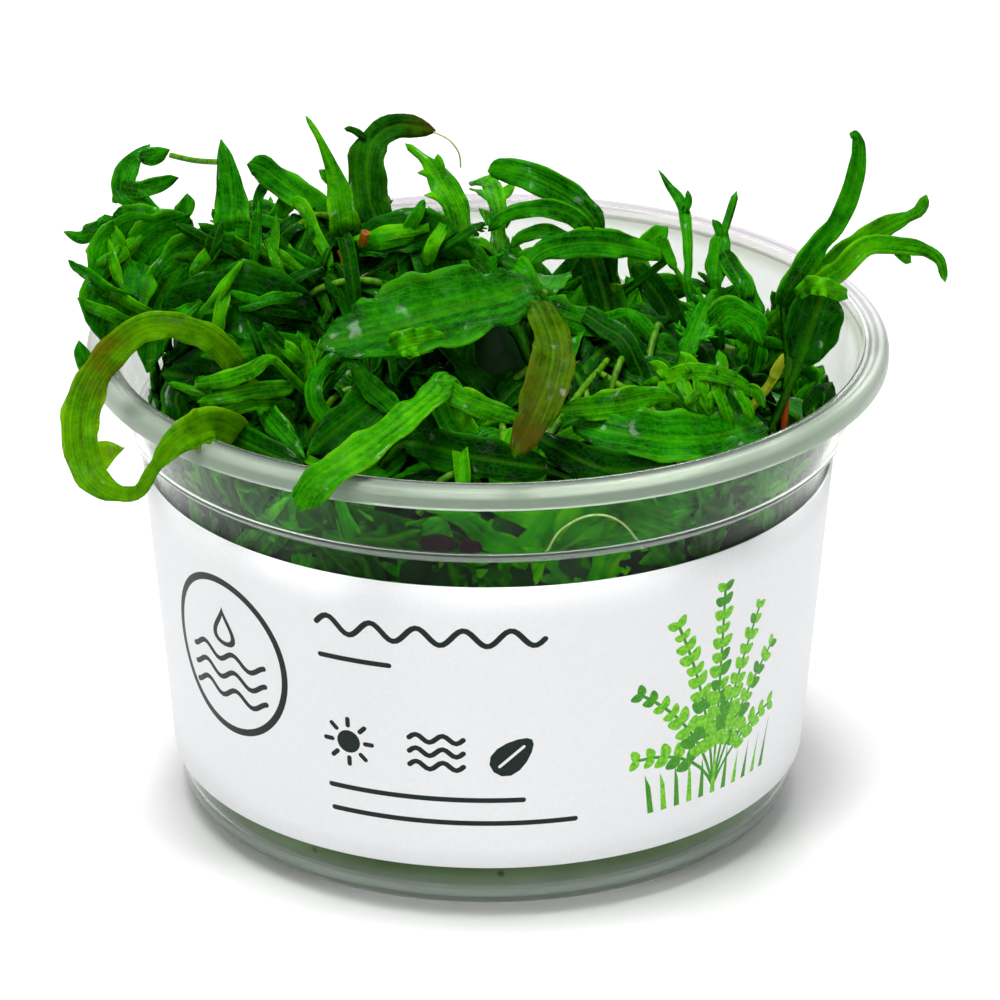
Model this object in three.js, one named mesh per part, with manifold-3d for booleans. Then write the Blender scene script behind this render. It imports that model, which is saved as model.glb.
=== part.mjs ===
// A clear cup of tissue-cultured Hygrophila odora: cup, label, gel, and the plants that spill out.
// Millimetres, +Z up. The origin is the centre of the cup's flat base, and -Y is the side with the print.
import * as THREE from "three";
import { mergeVertices } from "three/addons/utils/BufferGeometryUtils.js";
import Module from "manifold-3d";

// Driving dimensions
const cupHeight = 48.9;
const rimRadius = 40;
const mouthRadius = 35.9;
const wall = 0.9;
const baseFlatRadius = 28.5;
const baseRadius = 31.6;
const shoulderRadius = 34.6;
const shoulderHeight = 39.6;
const cornerHeight = 3;
const floorThickness = 1.1;
const skirtDrop = 2.4;
const flangeThickness = 1.1;
const flangeEdge = 0.9;
const labelBottom = 5.5;
const labelTop = 36.7;
const labelThickness = 0.25;
const labelGap = 0.15;
const gelTop = 9;
const gap = 0.3;
const turns = 48;
const leafThickness = 0.6;
const stemRadius = 0.8;
const stalkWidth = 0.9;

const wasm = await Module();
wasm.setup();

const part = new THREE.Group();

const finishes = {
  cup: new THREE.MeshStandardMaterial({ color: "#dfe8e2", roughness: 0.2, metalness: 0 }),
  label: new THREE.MeshStandardMaterial({ color: "#f1f2f2", roughness: 0.5, metalness: 0 }),
  gel: new THREE.MeshStandardMaterial({ color: "#8fa286", roughness: 0.2, metalness: 0 }),
  stem: new THREE.MeshStandardMaterial({ color: "#6c8f2a", roughness: 0.4, metalness: 0 }),
  ripeStem: new THREE.MeshStandardMaterial({ color: "#a8561c", roughness: 0.4, metalness: 0 }),
  leaf: new THREE.MeshStandardMaterial({ color: "#2f8a12", roughness: 0.3, metalness: 0 }),
  oldLeaf: new THREE.MeshStandardMaterial({ color: "#66701a", roughness: 0.3, metalness: 0 }),
  tangle: new THREE.MeshStandardMaterial({ color: "#1f5a10", roughness: 0.4, metalness: 0 }),
};

// A solid from a closed geometry, whose equal vertices are merged first.
function solidOf(geometry) {
  const bare = geometry.clone();
  bare.deleteAttribute("normal");
  bare.deleteAttribute("uv");
  const merged = mergeVertices(bare, 1e-4);
  return new wasm.Manifold(
    new wasm.Mesh({
      numProp: 3,
      vertProperties: new Float32Array(merged.attributes.position.array),
      triVerts: new Uint32Array(merged.index.array),
    }),
  );
}

function geometryOf(solid) {
  const mesh = solid.getMesh();
  const positions = new Float32Array(mesh.numVert * 3);
  for (let i = 0; i < mesh.numVert; i++) {
    positions.set(mesh.vertProperties.subarray(i * mesh.numProp, i * mesh.numProp + 3), i * 3);
  }
  const geometry = new THREE.BufferGeometry();
  geometry.setAttribute("position", new THREE.BufferAttribute(positions, 3));
  geometry.setIndex(new THREE.BufferAttribute(mesh.triVerts, 1));
  geometry.computeVertexNormals();
  return geometry;
}

function add(name, geometry, material) {
  const mesh = new THREE.Mesh(geometry, material);
  mesh.name = name;
  part.add(mesh);
}

// A body turned about the Z axis from points of (radius, height), listed upwards on the outside.
function turned(profile) {
  const points = profile.map(([radius, height]) => new THREE.Vector2(radius, height));
  const geometry = new THREE.LatheGeometry(points, turns);
  geometry.rotateX(Math.PI / 2);
  return geometry;
}

// Cup: a tapered tub with a step under the mouth, and a flat rim whose edge turns down.
// The outside radius of the straight wall at a height, below the step.
function wallRadius(height) {
  const share = (height - cornerHeight) / (shoulderHeight - cornerHeight);
  return baseRadius + (shoulderRadius - baseRadius) * share;
}

function cupProfile(grow) {
  const inside = -wall - grow;
  const edge = 0.5;
  const collar = mouthRadius + 0.1;
  const underFlange = cupHeight - flangeThickness - grow;
  const skirtEnd = cupHeight - skirtDrop - grow;
  return [
    [0, -grow],
    [baseFlatRadius, -grow],
    [baseFlatRadius + 2 + grow * 0.5, 0.7 - grow * 0.7],
    [baseRadius + grow, cornerHeight],
    [shoulderRadius + grow, shoulderHeight],
    [collar + grow, shoulderHeight + 0.6],
    [collar + 0.3 + grow, underFlange],
    [rimRadius - flangeEdge - grow, underFlange],
    [rimRadius - flangeEdge - grow, skirtEnd],
    [rimRadius + grow, skirtEnd],
    [rimRadius + grow, cupHeight - edge],
    [rimRadius - edge, cupHeight + grow],
    [mouthRadius + 0.2, cupHeight + grow],
    [mouthRadius - 0.4 - grow, cupHeight - 0.6],
    [collar + inside, shoulderHeight + wall],
    [shoulderRadius + inside, shoulderHeight],
    [baseRadius + inside, cornerHeight],
    [baseFlatRadius + 1.2 - grow, floorThickness + edge + grow],
    [baseFlatRadius, floorThickness + grow],
    [0, floorThickness + grow],
  ];
}

const cupSolid = solidOf(turned(cupProfile(0)));
add("cup", geometryOf(cupSolid), finishes.cup);
const cupClear = solidOf(turned(cupProfile(gap)));

// Label: a printed band wrapped round the straight wall.
function labelProfile() {
  const inner = labelGap;
  const outer = labelGap + labelThickness;
  return [
    [wallRadius(labelBottom) + inner, labelBottom],
    [wallRadius(labelBottom) + outer, labelBottom],
    [wallRadius(labelTop) + outer, labelTop],
    [wallRadius(labelTop) + inner, labelTop],
    [wallRadius(labelBottom) + inner, labelBottom],
  ];
}

add("label", turned(labelProfile()), finishes.label);

// Gel: the set nutrient jelly on the floor of the cup, in which the stems stand.
function gelProfile() {
  const side = -wall - gap;
  const bottom = floorThickness + gap;
  const corner = cornerHeight + 0.4;
  return [
    [0, bottom],
    [baseFlatRadius - gap, bottom],
    [baseFlatRadius + 3 * gap, bottom + 0.8],
    [wallRadius(corner) + side, corner],
    [wallRadius(gelTop) + side, gelTop],
    [0, gelTop],
  ];
}

const gelSolid = solidOf(turned(gelProfile()));
add("nutrient_gel", geometryOf(gelSolid), finishes.gel);

// Stems: round rods that bend a little on their way up from the gel, by points [x, y, z] on their axis.
const stems = {
  stem_left_back: { path: [[-15, 4, 9.4], [-19, 3, 35], [-24, 0, 56]] },
  stem_left_front: { path: [[-14, -12, 9.4], [-19, -13, 32], [-22, -15, 49]] },
  stem_centre_left: { path: [[-6, 0, 9.4], [-10, -2, 35], [-13, -3, 56]] },
  stem_centre: { path: [[4, -4, 9.4], [4, -6, 35], [4, -8, 56]] },
  stem_back: { path: [[8, 9, 9.4], [12, 7, 32], [16, 4, 51]] },
  stem_right: { path: [[18, -2, 9.4], [21, -1, 32], [24, 1, 47]] },
  stem_right_ripe: { path: [[22, -7, 9.4], [27, -8, 32], [29, -6, 49]], finish: "ripeStem" },
};

function curveThrough(path) {
  const points = path.map(([x, y, z]) => new THREE.Vector3(x, y, z));
  return new THREE.CatmullRomCurve3(points, false, "catmullrom", 0.5);
}

function rod(path, radius, extra) {
  const curve = curveThrough(path);
  const section = new THREE.Shape();
  section.absarc(0, 0, radius + extra, 0, 2 * Math.PI, false);
  const geometry = new THREE.ExtrudeGeometry(section, {
    steps: 6,
    curveSegments: 3,
    bevelEnabled: false,
    extrudePath: curve,
  });
  return solidOf(geometry);
}

const stemClear = [];
for (const [name, stem] of Object.entries(stems)) {
  add(name, geometryOf(rod(stem.path, stemRadius, 0)), finishes[stem.finish ?? "stem"]);
  stemClear.push(rod(stem.path, stemRadius, gap));
}

// Tangle: the small leaves, leaf stalks and thin shoots that pack the cup, as one body of their form.
// Its top is a heap, high on the left and in the middle, and low along the back right wall.
const heapLevel = 42;
const heaps = [
  { at: [-22, 1], spread: 9, rise: 16 },
  { at: [-4, -4], spread: 9, rise: 15 },
  { at: [17, -6], spread: 8, rise: 8 },
  { at: [0, -26], spread: 10, rise: 3 },
  { at: [17, 25], spread: 13, rise: -9 },
  { at: [31, 4], spread: 7, rise: -4 },
];

function heapHeight(x, y) {
  let height = heapLevel;
  for (const heap of heaps) {
    const away = (x - heap.at[0]) ** 2 + (y - heap.at[1]) ** 2;
    height += heap.rise * Math.exp(-away / (2 * heap.spread ** 2));
  }
  const lumps = 1.2 * Math.sin(x * 0.62 + 1) * Math.cos(y * 0.55) + 0.6 * Math.sin(x * 0.31 - y * 0.8);
  return height + lumps;
}

function tangle(grow) {
  const spokes = 32;
  const topRings = [5, 10, 15, 20, 25, 29, 32.5];
  const topEdge = 33;
  const wallHeights = [38.5, 25, gelTop + gap];
  const positions = [0, 0, heapHeight(0, 0) + grow];
  const indices = [];
  const rows = [];
  const ring = (radiusAt, heightAt) => {
    const first = positions.length / 3;
    for (let k = 0; k < spokes; k++) {
      const angle = (2 * Math.PI * k) / spokes;
      const radius = radiusAt(angle);
      const x = radius * Math.cos(angle);
      const y = radius * Math.sin(angle);
      positions.push(x, y, heightAt(x, y));
    }
    rows.push(first);
  };
  for (const radius of topRings) {
    ring(() => radius + (grow * radius) / topEdge, (x, y) => heapHeight(x, y) + grow);
  }
  for (const height of wallHeights) {
    const side = -wall - gap - 0.2 + grow;
    ring(() => wallRadius(height) + side, () => height - (height < gelTop + 1 ? grow : 0));
  }
  for (let k = 0; k < spokes; k++) {
    indices.push(0, rows[0] + k, rows[0] + ((k + 1) % spokes));
  }
  for (let row = 0; row + 1 < rows.length; row++) {
    for (let k = 0; k < spokes; k++) {
      const next = (k + 1) % spokes;
      indices.push(rows[row] + k, rows[row + 1] + k, rows[row + 1] + next);
      indices.push(rows[row] + k, rows[row + 1] + next, rows[row] + next);
    }
  }
  const last = rows[rows.length - 1];
  const floor = positions.length / 3;
  positions.push(0, 0, gelTop + gap - grow);
  for (let k = 0; k < spokes; k++) {
    indices.push(floor, last + ((k + 1) % spokes), last + k);
  }
  const geometry = new THREE.BufferGeometry();
  geometry.setAttribute("position", new THREE.Float32BufferAttribute(positions, 3));
  geometry.setIndex(indices);
  return solidOf(geometry);
}

let tangleSolid = tangle(0);
for (const stem of stemClear) {
  tangleSolid = tangleSolid.subtract(stem);
}
add("leaf_tangle", geometryOf(tangleSolid), finishes.tangle);

// Leaves: a blade along its midrib, by points [x, y, z] from the stalk to the tip.
// width is the whole width, lobes the pairs of fingers, depth how far the gaps between fingers reach in,
// and face the way its upper side looks.
const toViewer = [0, -1, 0.45];
const overhead = [0, -0.6, 1];
const leaves = {
  leaf_left_loop: {
    path: [
      [-21, -17, 52], [-26, -17, 55], [-31, -18, 57], [-35.5, -21, 56], [-38.5, -24, 52], [-39.5, -26, 47.5],
      [-37, -28, 45], [-34, -30.5, 45], [-31.5, -31, 47.5], [-29, -30, 50.5], [-25, -27, 50.5],
    ],
    width: 3.2,
    blunt: true,
  },
  leaf_left_curl: {
    stem: "stem_left_back",
    path: [[-24, -1, 56], [-31, 2, 59], [-38, 6, 58], [-43, 7, 56.5]],
    width: 7,
    lobes: 3,
    depth: 0.5,
  },
  leaf_left_broad: {
    stem: "stem_left_back",
    path: [[-26, -3, 60], [-32, -6, 60], [-36, -8, 56], [-37.5, -11, 50.5]],
    width: 7,
    face: [0.2, -1, 0],
    blunt: true,
  },
  leaf_left_high: {
    stem: "stem_left_back",
    path: [[-25, 2, 58], [-29, 3, 60], [-32.5, 4, 62.5], [-34.2, 6.5, 65], [-33.2, 8.5, 67]],
    width: 8,
    lobes: 3,
    depth: 0.7,
  },
  leaf_left_point: {
    stem: "stem_left_back",
    path: [[-22.5, -1, 59], [-23.5, 0, 62], [-25, 2, 66], [-26.5, 3, 69]],
    width: 6,
    lobes: 2,
    depth: 0.4,
  },
  leaf_left_arch: {
    stem: "stem_centre_left",
    path: [[-12.5, -1, 58], [-17, -1, 63], [-21.5, 1, 65.5], [-28, 5, 66]],
    width: 7,
    lobes: 4,
    depth: 0.75,
  },
  leaf_left_cross: {
    path: [[-16, -7, 57], [-23, -7, 60.5], [-31, -8, 60]],
    width: 7,
    lobes: 3,
    depth: 0.7,
  },
  leaf_left_shade: {
    path: [[-17, -11, 54], [-24, -12, 57], [-32, -12, 55]],
    width: 7.5,
    blunt: true,
  },
  leaf_left_low: {
    path: [[-14, -14, 51.5], [-21, -15, 53.5], [-28, -14, 52]],
    width: 6,
    lobes: 3,
    depth: 0.5,
  },
  leaf_left_finger: {
    path: [[-19, -13, 48.5], [-26, -13, 49], [-32, -11, 49]],
    width: 5,
  },
  leaf_left_fork: {
    path: [[-17, -17, 50.5], [-23, -20, 51], [-29, -22, 51.5]],
    width: 5.5,
    lobes: 3,
    depth: 0.8,
  },
  leaf_left_strap: {
    path: [[-22, -17, 48], [-20.5, -21, 48], [-17.5, -26, 46.5]],
    width: 3,
    finish: "oldLeaf",
  },
  leaf_left_front: { path: [[-17, -28, 46], [-22, -25, 47], [-27, -19, 47]], width: 4 },
  leaf_spike: {
    stem: "stem_centre_left",
    path: [[-13, -3, 57], [-13.5, -2, 61], [-15.5, -1, 67], [-18, 1, 71.5]],
    width: 4,
  },
  leaf_dark_arch: {
    stem: "stem_centre_left",
    path: [[-9.5, 1, 55], [-11.5, 3, 61], [-11, 5, 66], [-8.5, 6, 68], [-4.5, 5, 67]],
    width: 4.2,
    blunt: true,
  },
  leaf_centre_back: {
    path: [[-1, -3, 56], [-2.5, -2, 60], [-4.5, 0, 64], [-8, 4, 67.5]],
    width: 6,
    lobes: 2,
    depth: 0.35,
  },
  leaf_back_swan: {
    stem: "stem_back",
    path: [[15, 4, 52], [12.5, 5, 57], [8, 7, 60.5], [3, 9, 62], [-1, 9.5, 61]],
    width: 4.8,
    blunt: true,
  },
  leaf_back_fingers: {
    stem: "stem_back",
    path: [[18, 3, 54], [11, 2, 57.5], [5, 0, 59], [-1, -1, 57]],
    width: 8,
    lobes: 3,
    depth: 0.7,
  },
  leaf_back_strap_left: {
    path: [[14, 1, 44], [12.5, 5, 50], [11, 8, 54.5]],
    width: 5,
    blunt: true,
  },
  leaf_back_strap_right: {
    stem: "stem_right",
    path: [[20, 4, 46], [17, 6, 51], [14.5, 8, 55]],
    width: 4.2,
    blunt: true,
  },
  leaf_right_spikes: {
    stem: "stem_right",
    path: [[21, 2, 49], [20.5, 6, 56], [20, 9, 60], [18, 10, 63]],
    width: 5.5,
    lobes: 2,
    depth: 0.8,
  },
  leaf_right_spire: {
    stem: "stem_right",
    path: [[25, 1, 48], [24, 3, 54], [23.5, 5, 58], [25, 7.5, 62]],
    width: 6,
    lobes: 2,
    depth: 0.7,
  },
  leaf_right_feather: {
    path: [[14, -12, 51], [18, -8, 54], [22, -3, 56]],
    width: 8,
    lobes: 4,
    depth: 0.65,
  },
  leaf_front_fan: {
    path: [[13, -16, 52.5], [18, -19, 53], [23, -21, 51.5], [28, -22, 49]],
    width: 10,
    lobes: 4,
    depth: 0.65,
  },
  leaf_centre_large: {
    path: [[6, -8, 59], [-1, -15, 60.5], [-9, -20, 59], [-16, -22, 54.5]],
    width: 7.5,
    face: overhead,
    blunt: true,
  },
  leaf_centre_shade: {
    stem: "stem_centre_left",
    path: [[-13, -6, 60], [-7, -6, 62], [-1, -8, 60]],
    width: 4.5,
  },
  leaf_brown_strap: {
    stem: "stem_centre",
    path: [[4.5, -12, 63], [7, -21, 61], [7, -28, 56], [3, -33.5, 51.5]],
    width: 3.8,
    finish: "oldLeaf",
    blunt: true,
  },
  leaf_front_strap_left: { path: [[-6.5, -24, 55], [-1.5, -27, 54], [4, -28, 53.5]], width: 3 },
  leaf_front_strap_right: { path: [[18, -21, 50.5], [12, -25, 51.5], [6.5, -27.5, 52]], width: 3 },
  leaf_over_rim: {
    path: [[-1.5, -25, 52], [-6.5, -31.5, 51.5], [-12, -36, 50.6], [-15.5, -38, 49.8], [-18, -39, 47]],
    width: 4.2,
    face: overhead,
    blunt: true,
  },
  leaf_front_under: { path: [[-9, -20, 51], [-13, -26, 50.5], [-17, -31, 49]], width: 4.2 },
  leaf_curl_ring: {
    path: [[-14, -16, 52.5], [-17, -18.5, 52], [-18, -23, 51], [-15.5, -26, 52]],
    width: 2.6,
    face: overhead,
  },
  leaf_centre_short: { path: [[-13.5, -21, 53], [-10, -25.5, 53.5], [-6.5, -29, 52.5]], width: 3.4 },
  leaf_tall_right: {
    stem: "stem_right_ripe",
    path: [[29, -3.5, 51], [31, -4, 57], [34, -4, 63], [36, -3.5, 68], [35.5, -3, 71.5]],
    width: 3.4,
  },
  leaf_right_branch: {
    stem: "stem_right_ripe",
    path: [[30.5, -1, 51], [34, -1, 57], [38.5, -1, 60.5], [43.5, 0, 63.5]],
    width: 4.5,
    lobes: 2,
    depth: 0.5,
  },
  leaf_right_hook: {
    stem: "stem_right_ripe",
    path: [[32, -4, 53], [36, -4.5, 56.5], [41.5, -4, 58], [45, -4, 57.5], [45.5, -4, 55]],
    width: 3,
  },
  leaf_right_dark: {
    path: [[30, -9, 47.5], [32, -7, 51.5], [32.5, -5, 56]],
    width: 7,
    blunt: true,
  },
  leaf_right_yellow: { path: [[27.5, -11, 47], [28.5, -10, 50]], width: 1.6 },
  leaf_right_low: { path: [[26, -15, 45.5], [30, -12, 46], [32, -5, 47]], width: 4.5 },
  leaf_front_wide: {
    path: [[26.5, -20, 47.5], [21, -26, 48.5], [14.5, -28, 49.5], [8, -26, 50]],
    width: 6,
    face: overhead,
    blunt: true,
  },
  leaf_front_low_left: { path: [[-8, -26, 48], [-1, -29.5, 48], [6, -30, 47]], width: 4.2, blunt: true },
  leaf_front_low_right: { path: [[18, -29, 46.8], [11, -30.5, 47.3], [4, -26, 49]], width: 4 },
  leaf_rear_left: {
    path: [[-20, 10, 54], [-24, 16, 55], [-26, 22, 53], [-26, 27, 50]],
    width: 7,
    lobes: 3,
    depth: 0.6,
    face: overhead,
  },
  leaf_rear_low: {
    path: [[-12, 10, 53], [-13, 18, 55], [-13, 25, 53], [-12, 31, 50]],
    width: 6,
    face: overhead,
    blunt: true,
  },
  leaf_rear_mid: {
    path: [[-3, 8, 51], [-4, 14, 54], [-3, 20, 53], [-1, 27, 49]],
    width: 8,
    lobes: 4,
    depth: 0.65,
    face: overhead,
  },
  leaf_rear_right: {
    path: [[4, 12, 46], [5, 18, 47], [6, 24, 45.5], [6, 29, 42]],
    width: 6,
    face: overhead,
    blunt: true,
  },
  leaf_rear_side: {
    path: [[-27, 8, 53], [-32, 13, 54], [-36, 17, 52]],
    width: 6,
    lobes: 3,
    depth: 0.6,
    face: overhead,
  },
  leaf_rear_shoot: {
    path: [[1, 4, 54], [1, 10, 58], [0, 16, 59], [-2, 21, 57]],
    width: 5,
    lobes: 3,
    depth: 0.6,
    face: overhead,
  },
  leaf_rear_corner: {
    path: [[21, 5, 43], [23, 9, 45.5], [25, 14, 45.5], [26, 18, 43]],
    width: 6,
    lobes: 3,
    depth: 0.6,
    face: overhead,
  },
};

// Where a leaf's stalk starts: at the side of its stem, or on the heap, below and behind the blade.
const stalkRun = 0.18;
const stalkFall = 0.22;
const heapEdge = 32;
const used = {};
function stalkFoot(leaf) {
  const [first, second] = leaf.path.map(([x, y, z]) => new THREE.Vector3(x, y, z));
  if (leaf.stem) {
    used[leaf.stem] = (used[leaf.stem] ?? 0) + 1;
    return curveThrough(stems[leaf.stem].path).getPoint(1.01 - 0.03 * used[leaf.stem]);
  }
  const back = first.clone().sub(second).setZ(0).normalize().multiplyScalar(stalkRun).setZ(-stalkFall);
  const foot = first.clone();
  while (foot.z > heapHeight(foot.x, foot.y) && Math.hypot(foot.x, foot.y) < heapEdge) {
    foot.add(back);
  }
  return foot;
}

// Rows of four points each: two edges, the top and the underside of the midrib.
function blade(leaf, foot, grow) {
  const stalked = foot.distanceTo(new THREE.Vector3(...leaf.path[0])) > 1;
  const curve = curveThrough(stalked ? [foot.toArray(), ...leaf.path] : leaf.path);
  const bladeStart = stalked ? 1 / leaf.path.length : 0;
  const face = new THREE.Vector3(...(leaf.face ?? toViewer)).normalize();
  const lobes = leaf.lobes ?? 0;
  const steps = lobes > 0 ? 2 * lobes + 4 : Math.max(6, 2 * leaf.path.length - 2);
  const stalkSteps = stalked ? 2 : 0;
  const furthestLead = (0.7 * curve.getLength()) / (steps + stalkSteps);
  const positions = [];
  const indices = [];
  for (let i = -stalkSteps; i <= steps; i++) {
    const share = Math.max(0, i / steps);
    const stalk = i < 0;
    const t = stalk ? (bladeStart * (i + stalkSteps)) / stalkSteps : bladeStart + (1 - bladeStart) * share;
    const along = curve.getTangent(t);
    const side = new THREE.Vector3().crossVectors(along, face).normalize();
    const out = new THREE.Vector3().crossVectors(side, along).normalize();
    const point = curve.getPoint(t);
    const envelope = Math.sin(Math.PI * (0.03 + 0.94 * share)) ** (leaf.blunt ? 0.45 : 0.75);
    const fingered = lobes > 0 && i > 1 && i < steps - 1;
    const reach = fingered && i % 2 === 0 ? 1 - leaf.depth : 1;
    const halfWidth = stalk ? 0 : (leaf.width / 2) * envelope * reach;
    const edge = Math.max(stalkWidth / 2, halfWidth) + grow;
    const lead = fingered && i % 2 === 1 ? Math.min(0.5 * edge, furthestLead) : 0;
    const thick = leafThickness / 2 + grow;
    for (const way of [-1, 1]) {
      const rim = point.clone().addScaledVector(side, way * edge);
      positions.push(rim.addScaledVector(along, lead).addScaledVector(out, 0.18 * edge));
    }
    positions.push(point.clone().addScaledVector(out, thick));
    positions.push(point.clone().addScaledVector(out, -thick));
  }
  const around = [0, 2, 1, 3];
  const rows = steps + stalkSteps;
  for (let i = 0; i < rows; i++) {
    for (let k = 0; k < 4; k++) {
      const a = 4 * i + around[k];
      const b = 4 * i + around[(k + 1) % 4];
      indices.push(a, b + 4, a + 4, a, b, b + 4);
    }
  }
  const end = 4 * rows;
  indices.push(0, 1, 2, 0, 3, 1);
  indices.push(end, end + 2, end + 1, end, end + 1, end + 3);
  const geometry = new THREE.BufferGeometry();
  const numbers = positions.flatMap((point) => point.toArray());
  geometry.setAttribute("position", new THREE.Float32BufferAttribute(numbers, 3));
  geometry.setIndex(indices);
  return solidOf(geometry);
}

function largest(solid) {
  return solid.decompose().reduce((best, body) => (body.volume() > best.volume() ? body : best));
}

const inTheWay = [cupClear, tangle(gap), ...stemClear];
for (const [name, leaf] of Object.entries(leaves)) {
  const foot = stalkFoot(leaf);
  let body = blade(leaf, foot, 0);
  for (const other of inTheWay) {
    body = body.subtract(other);
  }
  body = largest(body);
  inTheWay.push(blade(leaf, foot, gap));
  add(name, geometryOf(body), finishes[leaf.finish ?? "leaf"]);
}

export default part;
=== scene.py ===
import bpy, bmesh, random
from functools import partial
from math import atan2, cos, exp, hypot, pi, radians, sin, sqrt
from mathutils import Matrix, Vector, geometry, noise


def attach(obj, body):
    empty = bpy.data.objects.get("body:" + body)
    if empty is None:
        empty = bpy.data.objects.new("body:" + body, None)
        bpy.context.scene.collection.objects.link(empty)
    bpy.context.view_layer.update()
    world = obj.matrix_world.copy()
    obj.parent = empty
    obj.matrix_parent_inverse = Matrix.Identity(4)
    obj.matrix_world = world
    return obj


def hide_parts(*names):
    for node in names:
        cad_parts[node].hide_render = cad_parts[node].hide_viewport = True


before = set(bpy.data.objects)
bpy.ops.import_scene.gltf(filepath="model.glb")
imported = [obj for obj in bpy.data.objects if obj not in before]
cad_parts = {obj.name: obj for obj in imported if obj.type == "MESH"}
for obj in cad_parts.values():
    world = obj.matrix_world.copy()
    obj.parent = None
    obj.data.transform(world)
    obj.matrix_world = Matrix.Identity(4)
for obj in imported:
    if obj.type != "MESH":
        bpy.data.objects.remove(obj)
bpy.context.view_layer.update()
print("frame loaded")

mm = 0.001


def linear(hexColour):   # sRGB hex to linear RGBA
    parts = [int(hexColour[i:i + 2], 16) / 255 for i in (1, 3, 5)]
    return (*[p / 12.92 if p <= 0.04045 else ((p + 0.055) / 1.055) ** 2.4 for p in parts], 1.0)


def addNode(tree, kind, values=None):
    # Lower-case names are settings and the others inputs. A node given as an input links its first live output.
    node = tree.nodes.new(kind if "Node" in kind else "ShaderNode" + kind)
    for name, value in (values or {}).items():
        if name == "stops":
            ramp = node.color_ramp
            while len(ramp.elements) < len(value):
                ramp.elements.new(0.5)
            for element, (place, colour) in zip(ramp.elements, value):
                element.position, element.color = place, linear(colour)
        elif name in ("from", "to"):   # both ends of a range
            for end, number in zip(("Min", "Max"), value):
                node.inputs[f"{name.title()} {end}"].default_value = number
        elif isinstance(name, str) and name[0].islower():
            setattr(node, name, value)
        else:
            socket = node.inputs[name] if isinstance(name, int) else next(
                s for s in node.inputs if name in (s.identifier, s.name))
            if isinstance(value, bpy.types.Node):
                value = next(s for s in value.outputs if s.enabled)
            if isinstance(value, bpy.types.NodeSocket):
                tree.links.new(value, socket)
            else:
                socket.default_value = linear(value) if isinstance(value, str) else value
    return node


def newMaterial(name):   # the material, what adds nodes to it, and its places in object space
    material = bpy.data.materials.new(name)
    material.use_nodes = True
    material.node_tree.nodes.clear()
    add = partial(addNode, material.node_tree)
    return material, add, add("TexCoord").outputs["Object"]


def intoScene(name, data):   # a new object with this data
    item = bpy.data.objects.new(name, data)
    bpy.context.scene.collection.objects.link(item)
    return item


def newPiece(name, vertices, faces, materials, slots=None, uvs=None, smooth=True):
    mesh = bpy.data.meshes.new(name)
    mesh.from_pydata(vertices, [], faces)
    for material in materials:
        mesh.materials.append(material)
    if slots:
        mesh.polygons.foreach_set("material_index", slots)
    if uvs:
        layer = mesh.uv_layers.new(name="leafPlace")
        corners = [0] * len(mesh.loops)
        mesh.loops.foreach_get("vertex_index", corners)
        layer.data.foreach_set("uv", [n for corner in corners for n in uvs[corner]])
    mesh.polygons.foreach_set("use_smooth", [smooth] * len(mesh.polygons))
    mesh.validate()
    mesh.update()
    return intoScene(name, mesh)


def settle(piece, slot, *nodes):   # rides on the one body, and stands for its CAD nodes
    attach(piece, "root")
    if nodes:
        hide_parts(*nodes)


# Camera: a long lens, level with the photo's, 24 degrees above the horizon
camera = {"target": (1.2, 0, 30.61), "distance": 555.3, "elevation": 23.73, "lens": 197.6}


def buildCamera():
    tilt = radians(camera["elevation"])
    data = bpy.data.cameras.new("camera")
    data.lens, data.sensor_width = camera["lens"], 36
    data.clip_start, data.clip_end = 0.05, 20
    item = intoScene("camera", data)
    x, y, z = camera["target"]
    away = camera["distance"]
    item.location = (x * mm, (y - away * cos(tilt)) * mm, (z + away * sin(tilt)) * mm)
    item.rotation_euler = (pi / 2 - tilt, 0, 0)
    bpy.context.scene.camera = item


# Studio: white floor, a large soft light overhead and two smaller ones for the wet highlights
studio = {
    "world": 0.24,
    "floor": "#f6f6f6",
    "lights": {   # place in mm, aim in mm, side in mm, watts
        "overhead": ((-60, -40, 620), (0, 0, 40), 300, 3.9),
        "frontLeft": ((-420, -460, 380), (0, 0, 30), 150, 0.9),
        "frontRight": ((460, -380, 300), (0, 0, 30), 130, 0.7),
        "behind": ((120, 520, 360), (0, 0, 40), 220, 1.0),
    },
}


def buildStudio():
    material, add, place = newMaterial("paperSweep")   # seamless white paper: matt, faintly uneven
    clouds = add("TexNoise", {"Vector": place, "Scale": 9.0})
    tint = add("ValToRGB", {"stops": [(0.3, studio["floor"]), (0.7, "#fbfbfb")], "Fac": clouds})
    surface = add("BsdfPrincipled", {"Base Color": tint, "Roughness": 0.9})
    add("OutputMaterial", {"Surface": surface})
    reach = 3.0
    floor = newPiece("floor", [(-reach, -reach, -2e-4), (reach, -reach, -2e-4), (reach, reach, -2e-4),
                               (-reach, reach, -2e-4)], [(0, 1, 2, 3)], [material], smooth=False)
    world = bpy.data.worlds.new("studioAir")
    world.use_nodes = True
    world.node_tree.nodes["Background"].inputs["Color"].default_value = (1, 1, 1, 1)
    world.node_tree.nodes["Background"].inputs["Strength"].default_value = studio["world"]
    bpy.context.scene.world = world
    for name, (place, aim, side, watts) in studio["lights"].items():
        data = bpy.data.lights.new(name, "AREA")
        data.shape, data.size, data.energy = "SQUARE", side * mm, watts
        item = intoScene(name, data)
        item.location = Vector(place) * mm
        item.rotation_euler = (Vector(aim) - Vector(place)).to_track_quat("-Z", "Y").to_euler()
    view = bpy.context.scene.view_settings
    view.view_transform, view.look, view.exposure = "Standard", "None", 0.0


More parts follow.
